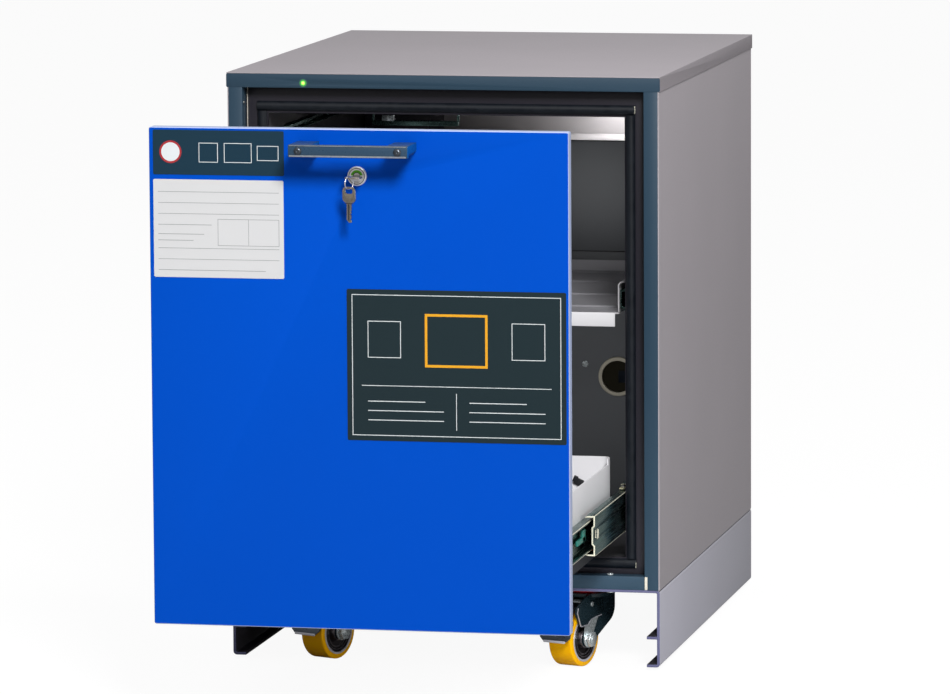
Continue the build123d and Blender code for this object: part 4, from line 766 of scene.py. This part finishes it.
class CABINET_OT_runners(BuildOperator, bpy.types.Operator):
    """Form the telescopic runners"""
    bl_idname = "cabinet.runners"
    bl_label = "Runners"

    def execute(self, context):
        for node in ("runner_outer", "runner_middle", "runner_inner"):
            strip = dress(node, radius_mm=0.35)
            repaint(strip, "cut_edge_and_highlight", lambda at, out: abs(out.y) > 0.8)
        cages = dress("runner_cages", radius_mm=0.0)
        repaint(cages, "cage_cream", lambda at, out: at.y > -60)
        dress("runner_balls", radius_mm=0.0)
        self.slots()
        return {"FINISHED"}

    def slots(self):
        """Stamped stops, bright lines along the runners' edges as painted highlights, and release levers at
        the front ends of the runners.
        """
        low, high = box_mm("runner_middle")
        y, z = low.y + 14, (low.z + high.z) / 2
        marks = []
        for side in (-1, 1):
            x = sorted((side * (high.x - 0.1), side * (high.x + 0.5)))
            marks += [(*x, y, y + 3.0, z - 6, z + 6), (*x, y + 7.5, y + 10.5, z - 6, z + 6)]
        box_piece("runner_stops", "cut_edge_and_highlight", "runners", marks, 0.15)
        # Bright lines along the top and bottom edges of the middle runners: painted highlights.
        lines = []
        levers = []
        for side in (-1, 1):
            x = sorted((side * (high.x - 1.0), side * (high.x + 0.05)))
            lines += [(*x, low.y + 1, high.y - 1, high.z - 0.5, high.z + 0.12),
                      (*x, low.y + 1, high.y - 1, low.z - 0.12, low.z + 0.4)]
            x = sorted((side * 228.0, side * 231.5))
            levers += [(*x, low.y - 60, low.y - 6, 206.0, 213.0),
                       (*x, low.y - 26, low.y - 8, 206.0, 222.0)]
        box_piece("runner_lines", "cut_edge_and_highlight", "runners", lines)
        box_piece("release_levers", "teal_plastic", "drawer", levers, 0.8)
        # Bright lines along the inner runners' edges: painted highlights.
        low, high = box_mm("runner_inner")
        lines = []
        for side in (-1, 1):
            x = sorted((side * (high.x - 1.2), side * (high.x + 0.05)))
            lines += [(*x, low.y + 1, high.y - 1, high.z - 0.4, high.z + 0.12),
                      (*x, low.y + 1, high.y - 1, low.z - 0.12, low.z + 0.4)]
        box_piece("inner_runner_lines", "cut_edge_and_highlight", "drawer", lines)


class CABINET_OT_tray(BuildOperator, bpy.types.Operator):
    """Form the pull-out tray"""
    bl_idname = "cabinet.tray"
    bl_label = "Tray"

    def execute(self, context):
        tray = dress("inner_tray", radius_mm=0.4)
        low, high = box_mm("inner_tray")
        # The tray's floor and inner walls take the grey copy of the white coat as painted shade.
        repaint(tray, "tray_inside", lambda at, out: at.y > low.y + 2.5 and at.z < high.z - 1
                and (out.z > 0.2 or abs(out.z) < 0.5 and abs(at.x) < high.x - 12 and at.y < high.y - 1.6))
        dress("tray_slides", radius_mm=0.4)
        return {"FINISHED"}


class CABINET_OT_castors(BuildOperator, bpy.types.Operator):
    """Form the castors"""
    bl_idname = "cabinet.castors"
    bl_label = "Castors"

    def execute(self, context):
        for node in ("castor_plates", "castor_bolts", "dust_rings", "rear_forks", "rear_axles"):
            dress(node, radius_mm=0.4)
        for side in ("right", "left"):
            dress(f"front_fork_{side}", radius_mm=0.6)
            dress(f"front_axle_{side}", radius_mm=0.5)
            dress(f"brake_pedal_{side}", radius_mm=0.5)
            for end in ("front", "rear"):
                hub = dress(f"{end}_hub_{side}", radius_mm=0.4)
                self.hub_zones(hub, joint_of(f"roll_{end}_{side}"))
                dress(f"{end}_tread_{side}", radius_mm=0.0)
            self.guard(side)
            pedal = bpy.data.objects[f"brake_pedal_{side}_formed"]
            repaint(pedal, "dark_screw", lambda at, out: at.z > 40.6 and at.y < -60)
        return {"FINISHED"}

    def hub_zones(self, hub, joint):
        """Cast recess of a hub darkened with painted shade, with a faced rim and turned bands on both
        sides.
        """
        middle = Vector(joint["pos_m"]) / MM
        axis = Vector(joint["axis"])
        rim = 32.0

        def ring(at):
            away = at - middle
            return (away - axis * away.dot(axis)).length

        repaint(hub, "recess_dark", lambda at, out: 14.0 < ring(at) < rim)
        face = max(axis.dot(vert.co / MM - middle) for vert in hub.data.vertices if ring(vert.co / MM) > 26)
        rims = bmesh.new()
        bands = bmesh.new()
        for way in (-1, 1):
            hoop(rims, 28.2, 31.0, way * face, way * (face + 0.5))
            hoop(bands, 20.0, 21.4, way * (face - 2.5), way * (face - 1.0))
            hoop(bands, 24.2, 25.0, way * (face - 1.5), way * (face - 0.4))
        side = hub.name.split("_")[0] + "_" + hub.name.split("_")[2]
        for name, work, finish in (("rim", rims, "rim_alloy"), ("bands", bands, "hub_alloy")):
            bmesh.ops.transform(work, matrix=along_joint(joint), verts=work.verts)
            piece(f"{name}_{side}", work, finish, joint["child"])

    def guard(self, side):
        """Guard plates and plated lobes on a swivel fork, its washers and pin ends, a bright strip on the
        guard's pressed edge (its plated edge with a painted highlight) and the pedal's lip, a painted
        highlight on its lower edge.
        """
        axis = joint_of(f"roll_front_{side}")["axis"]
        centre = joint_of(f"swivel_{side}")["pos_m"]
        turn = Matrix.Rotation(math.atan2(axis[1], axis[0]), 4, "Z")
        place = Matrix.Translation((centre[0], centre[1], 0)) @ turn
        reach = fork_reach()
        shape = [(-58.6, 57.0), (-40.6, 57.0), (-36.5, 60.5), (-30.0, 63.2), (-20.0, 64.6), (-3.3, 65.6),
                 (2.0, 70.0), (2.0, 88.0), (-50.0, 88.0), (-64.5, 83.0), (-67.3, 76.0)]
        plates = bmesh.new()
        pins = bmesh.new()
        lit_edge = bmesh.new()
        lobes = bmesh.new()
        lobe = [(AXLE_AT[0] + LOBE_RADIUS * math.cos(math.radians(a)),
                 AXLE_AT[1] + LOBE_RADIUS * math.sin(math.radians(a))) for a in range(170, 386, 12)]
        lobe += [(-13.0, 62.0), (-10.0, 66.5), (-46.0, 59.0), (-49.0, 45.0)]
        # Bright strip along the guard's pressed edge: its plated edge, brightened as a painted highlight.
        path = [(-65.5, 82.5), (-68.0, 76.0), (-58.8, 56.8)] + shape[1:6]
        edge = path + [(y + 0.6, z + 0.9) for y, z in path[::-1]]
        for way in (-1, 1):
            extruded(lit_edge, edge, way * (reach + 0.4), way * (reach + 1.55))
            drum(pins, (way * (reach + 0.9), *AXLE_AT), 11.5, 1.8, "X", 40)
            extruded(lobes, lobe, way * (reach - 0.1), way * (reach + 0.6))
            drum(pins, (way * (reach + 9.4), *AXLE_AT), 4.2, 1.6, "X", 24)
            extruded(plates, shape, way * reach, way * (reach + 1.3))
            drum(pins, (way * (reach + 1.5), *PEDAL_PIN_AT), 3.2, 1.6, "X", 24)
        break_edges(plates, 0.5)
        break_edges(pins, 0.3)
        # Bright lip along the pedal's lower edge: painted highlight.
        lip = bmesh.new()
        slab(lip, -16.5, 16.5, -91.6, -89.4, 38.2, 41.4)
        break_edges(lip, 0.4)
        bmesh.ops.transform(lip, matrix=place, verts=lip.verts)
        piece(f"pedal_lip_{side}", lip, "rim_alloy", f"pedal_{side}")
        for name, work, finish in (("guard", plates, "fork_coat"), ("pin_end", pins, "bright_zinc"),
                                   ("lobe", lobes, "bright_zinc"),
                                   ("guard_edge", lit_edge, "rim_alloy")):
            bmesh.ops.transform(work, matrix=place, verts=work.verts)
            piece(f"{name}_{side}", work, finish, f"castor_{side}")


class CABINET_OT_stage(BuildOperator, bpy.types.Operator):
    """Set up the floor, the light and the camera"""
    bl_idname = "cabinet.stage"
    bl_label = "Stage"

    def execute(self, context):
        scene = context.scene
        scene.view_settings.view_transform = "Standard"
        work = bmesh.new()
        bmesh.ops.create_circle(work, cap_ends=True, segments=96, radius=30.0)
        mesh = bpy.data.meshes.new("studio_floor")
        work.to_mesh(mesh)
        work.free()
        floor = bpy.data.objects.new("studio_floor", mesh)
        scene.collection.objects.link(floor)
        mesh.materials.append(self.floor_paint())
        self.lamp("key_lamp", (2.13, -5.24, 3.9), (0.0, 0.0, 0.45), 1.4, 394.0)
        self.lamp("top_lamp", (-0.6, 0.4, 5.0), (0.0, 0.0, 0.45), 2.6, 50.0)
        self.lamp("side_lamp", (6.0, -1.0, 0.9), (0.3, 0.2, 0.3), 2.4, 48.0)
        small = {
            "inner_lamp": ((0.10, 0.30, 0.60), (0.10, 0.60, 0.60), 0.15, 0.055),
            "ceiling_lamp": ((0.13, 0.565, 0.742), (0.13, 0.566, 0.66), 0.05, 0.17),
            "under_tray_lamp": ((0.10, 0.06, 0.36), (0.10, 0.50, 0.32), 0.12, 0.65),
            "bounce_lamp": ((0.25, -0.42, 0.03), (0.16, -0.10, 0.05), 0.16, 0.6),
        }
        for name, values in small.items():
            obj = self.lamp(name, *values)
            obj.visible_camera = False
            obj.visible_glossy = False
        bpy.data.lights["inner_lamp"].spread = math.radians(75.0)
        world = bpy.data.worlds.new("studio_light")
        scene.world = world
        world.use_nodes = True
        tree = world.node_tree
        tree.nodes.clear()
        rays = add(tree, "ShaderNodeLightPath")
        soft, room, white = (add(tree, "ShaderNodeBackground", {"Color": PURE_WHITE, "Strength": strength})
                             for strength in (0.2, 0.5, 1.0))
        mirrored = add(tree, "ShaderNodeMixShader",
                       {0: rays.outputs["Is Glossy Ray"], 1: soft.outputs[0], 2: room.outputs[0]})
        blend = add(tree, "ShaderNodeMixShader",
                    {0: rays.outputs["Is Camera Ray"], 1: mirrored.outputs[0], 2: white.outputs[0]})
        add(tree, "ShaderNodeOutputWorld", {"Surface": blend.outputs[0]})
        lens = bpy.data.cameras.new("photo_camera")
        lens.sensor_width = 36.0
        lens.lens = 243.57
        lens.clip_start = 0.1
        lens.clip_end = 100.0
        camera = bpy.data.objects.new("photo_camera", lens)
        turn = Matrix.Rotation(math.radians(11.92), 4, "Z") @ Matrix.Rotation(math.radians(82.82), 4, "X")
        turn = turn @ Matrix.Rotation(-0.0056, 4, "Z")
        camera.matrix_world = Matrix.Translation((1.8120, -8.4691, 1.5125)) @ turn
        scene.collection.objects.link(camera)
        scene.camera = camera
        return {"FINISHED"}

    def lamp(self, name, place, target, size, power):
        """Square area lamp that looks at a point."""
        light = bpy.data.lights.new(name, "AREA")
        light.shape = "SQUARE"
        light.size = size
        light.energy = power
        obj = bpy.data.objects.new(name, light)
        aim = Vector(target) - Vector(place)
        obj.matrix_world = Matrix.Translation(place) @ aim.to_track_quat("-Z", "Y").to_matrix().to_4x4()
        bpy.context.scene.collection.objects.link(obj)
        return obj

    def floor_paint(self):
        """Seamless studio paper: matt white, a little brighter to the camera so that it reads as white."""
        material, tree, shader, place = blank("seamless_white_paper", metallic=0.0, roughness=0.9)
        tone = add(tree, "ShaderNodeMix", {0: cloud(tree, place, 900.0), 6: linear("B2B2B2"),
                                           7: linear("B6B6B6")}, data_type="RGBA")
        tree.links.new(tone.outputs[2], shader.inputs["Base Color"])
        seen = add(tree, "ShaderNodeLightPath").outputs["Is Camera Ray"]
        glow = add(tree, "ShaderNodeEmission", {"Color": PURE_WHITE, "Strength": 1.17})
        part = add(tree, "ShaderNodeMath", {0: seen, 1: 0.8}, operation="MULTIPLY")
        mixed = add(tree, "ShaderNodeMixShader", {0: part.outputs[0], 1: shader.outputs["BSDF"],
                                                  2: glow.outputs[0]})
        out = next(n for n in tree.nodes if n.type == "OUTPUT_MATERIAL")
        tree.links.new(mixed.outputs[0], out.inputs["Surface"])
        return material


STEPS = (CABINET_OT_shell, CABINET_OT_inside, CABINET_OT_drawer, CABINET_OT_plates, CABINET_OT_handle,
         CABINET_OT_lock, CABINET_OT_runners, CABINET_OT_tray, CABINET_OT_castors, CABINET_OT_stage)


class CABINET_PT_build(bpy.types.Panel):
    """Buttons that build the cabinet piece by piece"""
    bl_label = "Battery Cabinet"
    bl_idname = "CABINET_PT_build"
    bl_space_type = "VIEW_3D"
    bl_region_type = "UI"
    bl_category = "Cabinet"

    def draw(self, context):
        layout = self.layout
        for step in STEPS:
            layout.operator(step.bl_idname)
        for group in (context.scene.cabinet_finish, context.scene.cabinet_sizes):
            box = layout.box()
            for key in group.__annotations__:
                box.prop(group, key)


CLASSES = (CabinetFinish, CabinetSizes, *STEPS, CABINET_PT_build)


def register():
    for cls in CLASSES:
        bpy.utils.register_class(cls)
    bpy.types.Scene.cabinet_finish = bpy.props.PointerProperty(type=CabinetFinish)
    bpy.types.Scene.cabinet_sizes = bpy.props.PointerProperty(type=CabinetSizes)


def unregister():
    del bpy.types.Scene.cabinet_sizes
    del bpy.types.Scene.cabinet_finish
    for cls in reversed(CLASSES):
        bpy.utils.unregister_class(cls)


def main():
    """Build everything."""
    register()
    for step in STEPS:
        group, call = step.bl_idname.split(".")
        getattr(getattr(bpy.ops, group), call)()


if __name__ == "__main__":
    main()
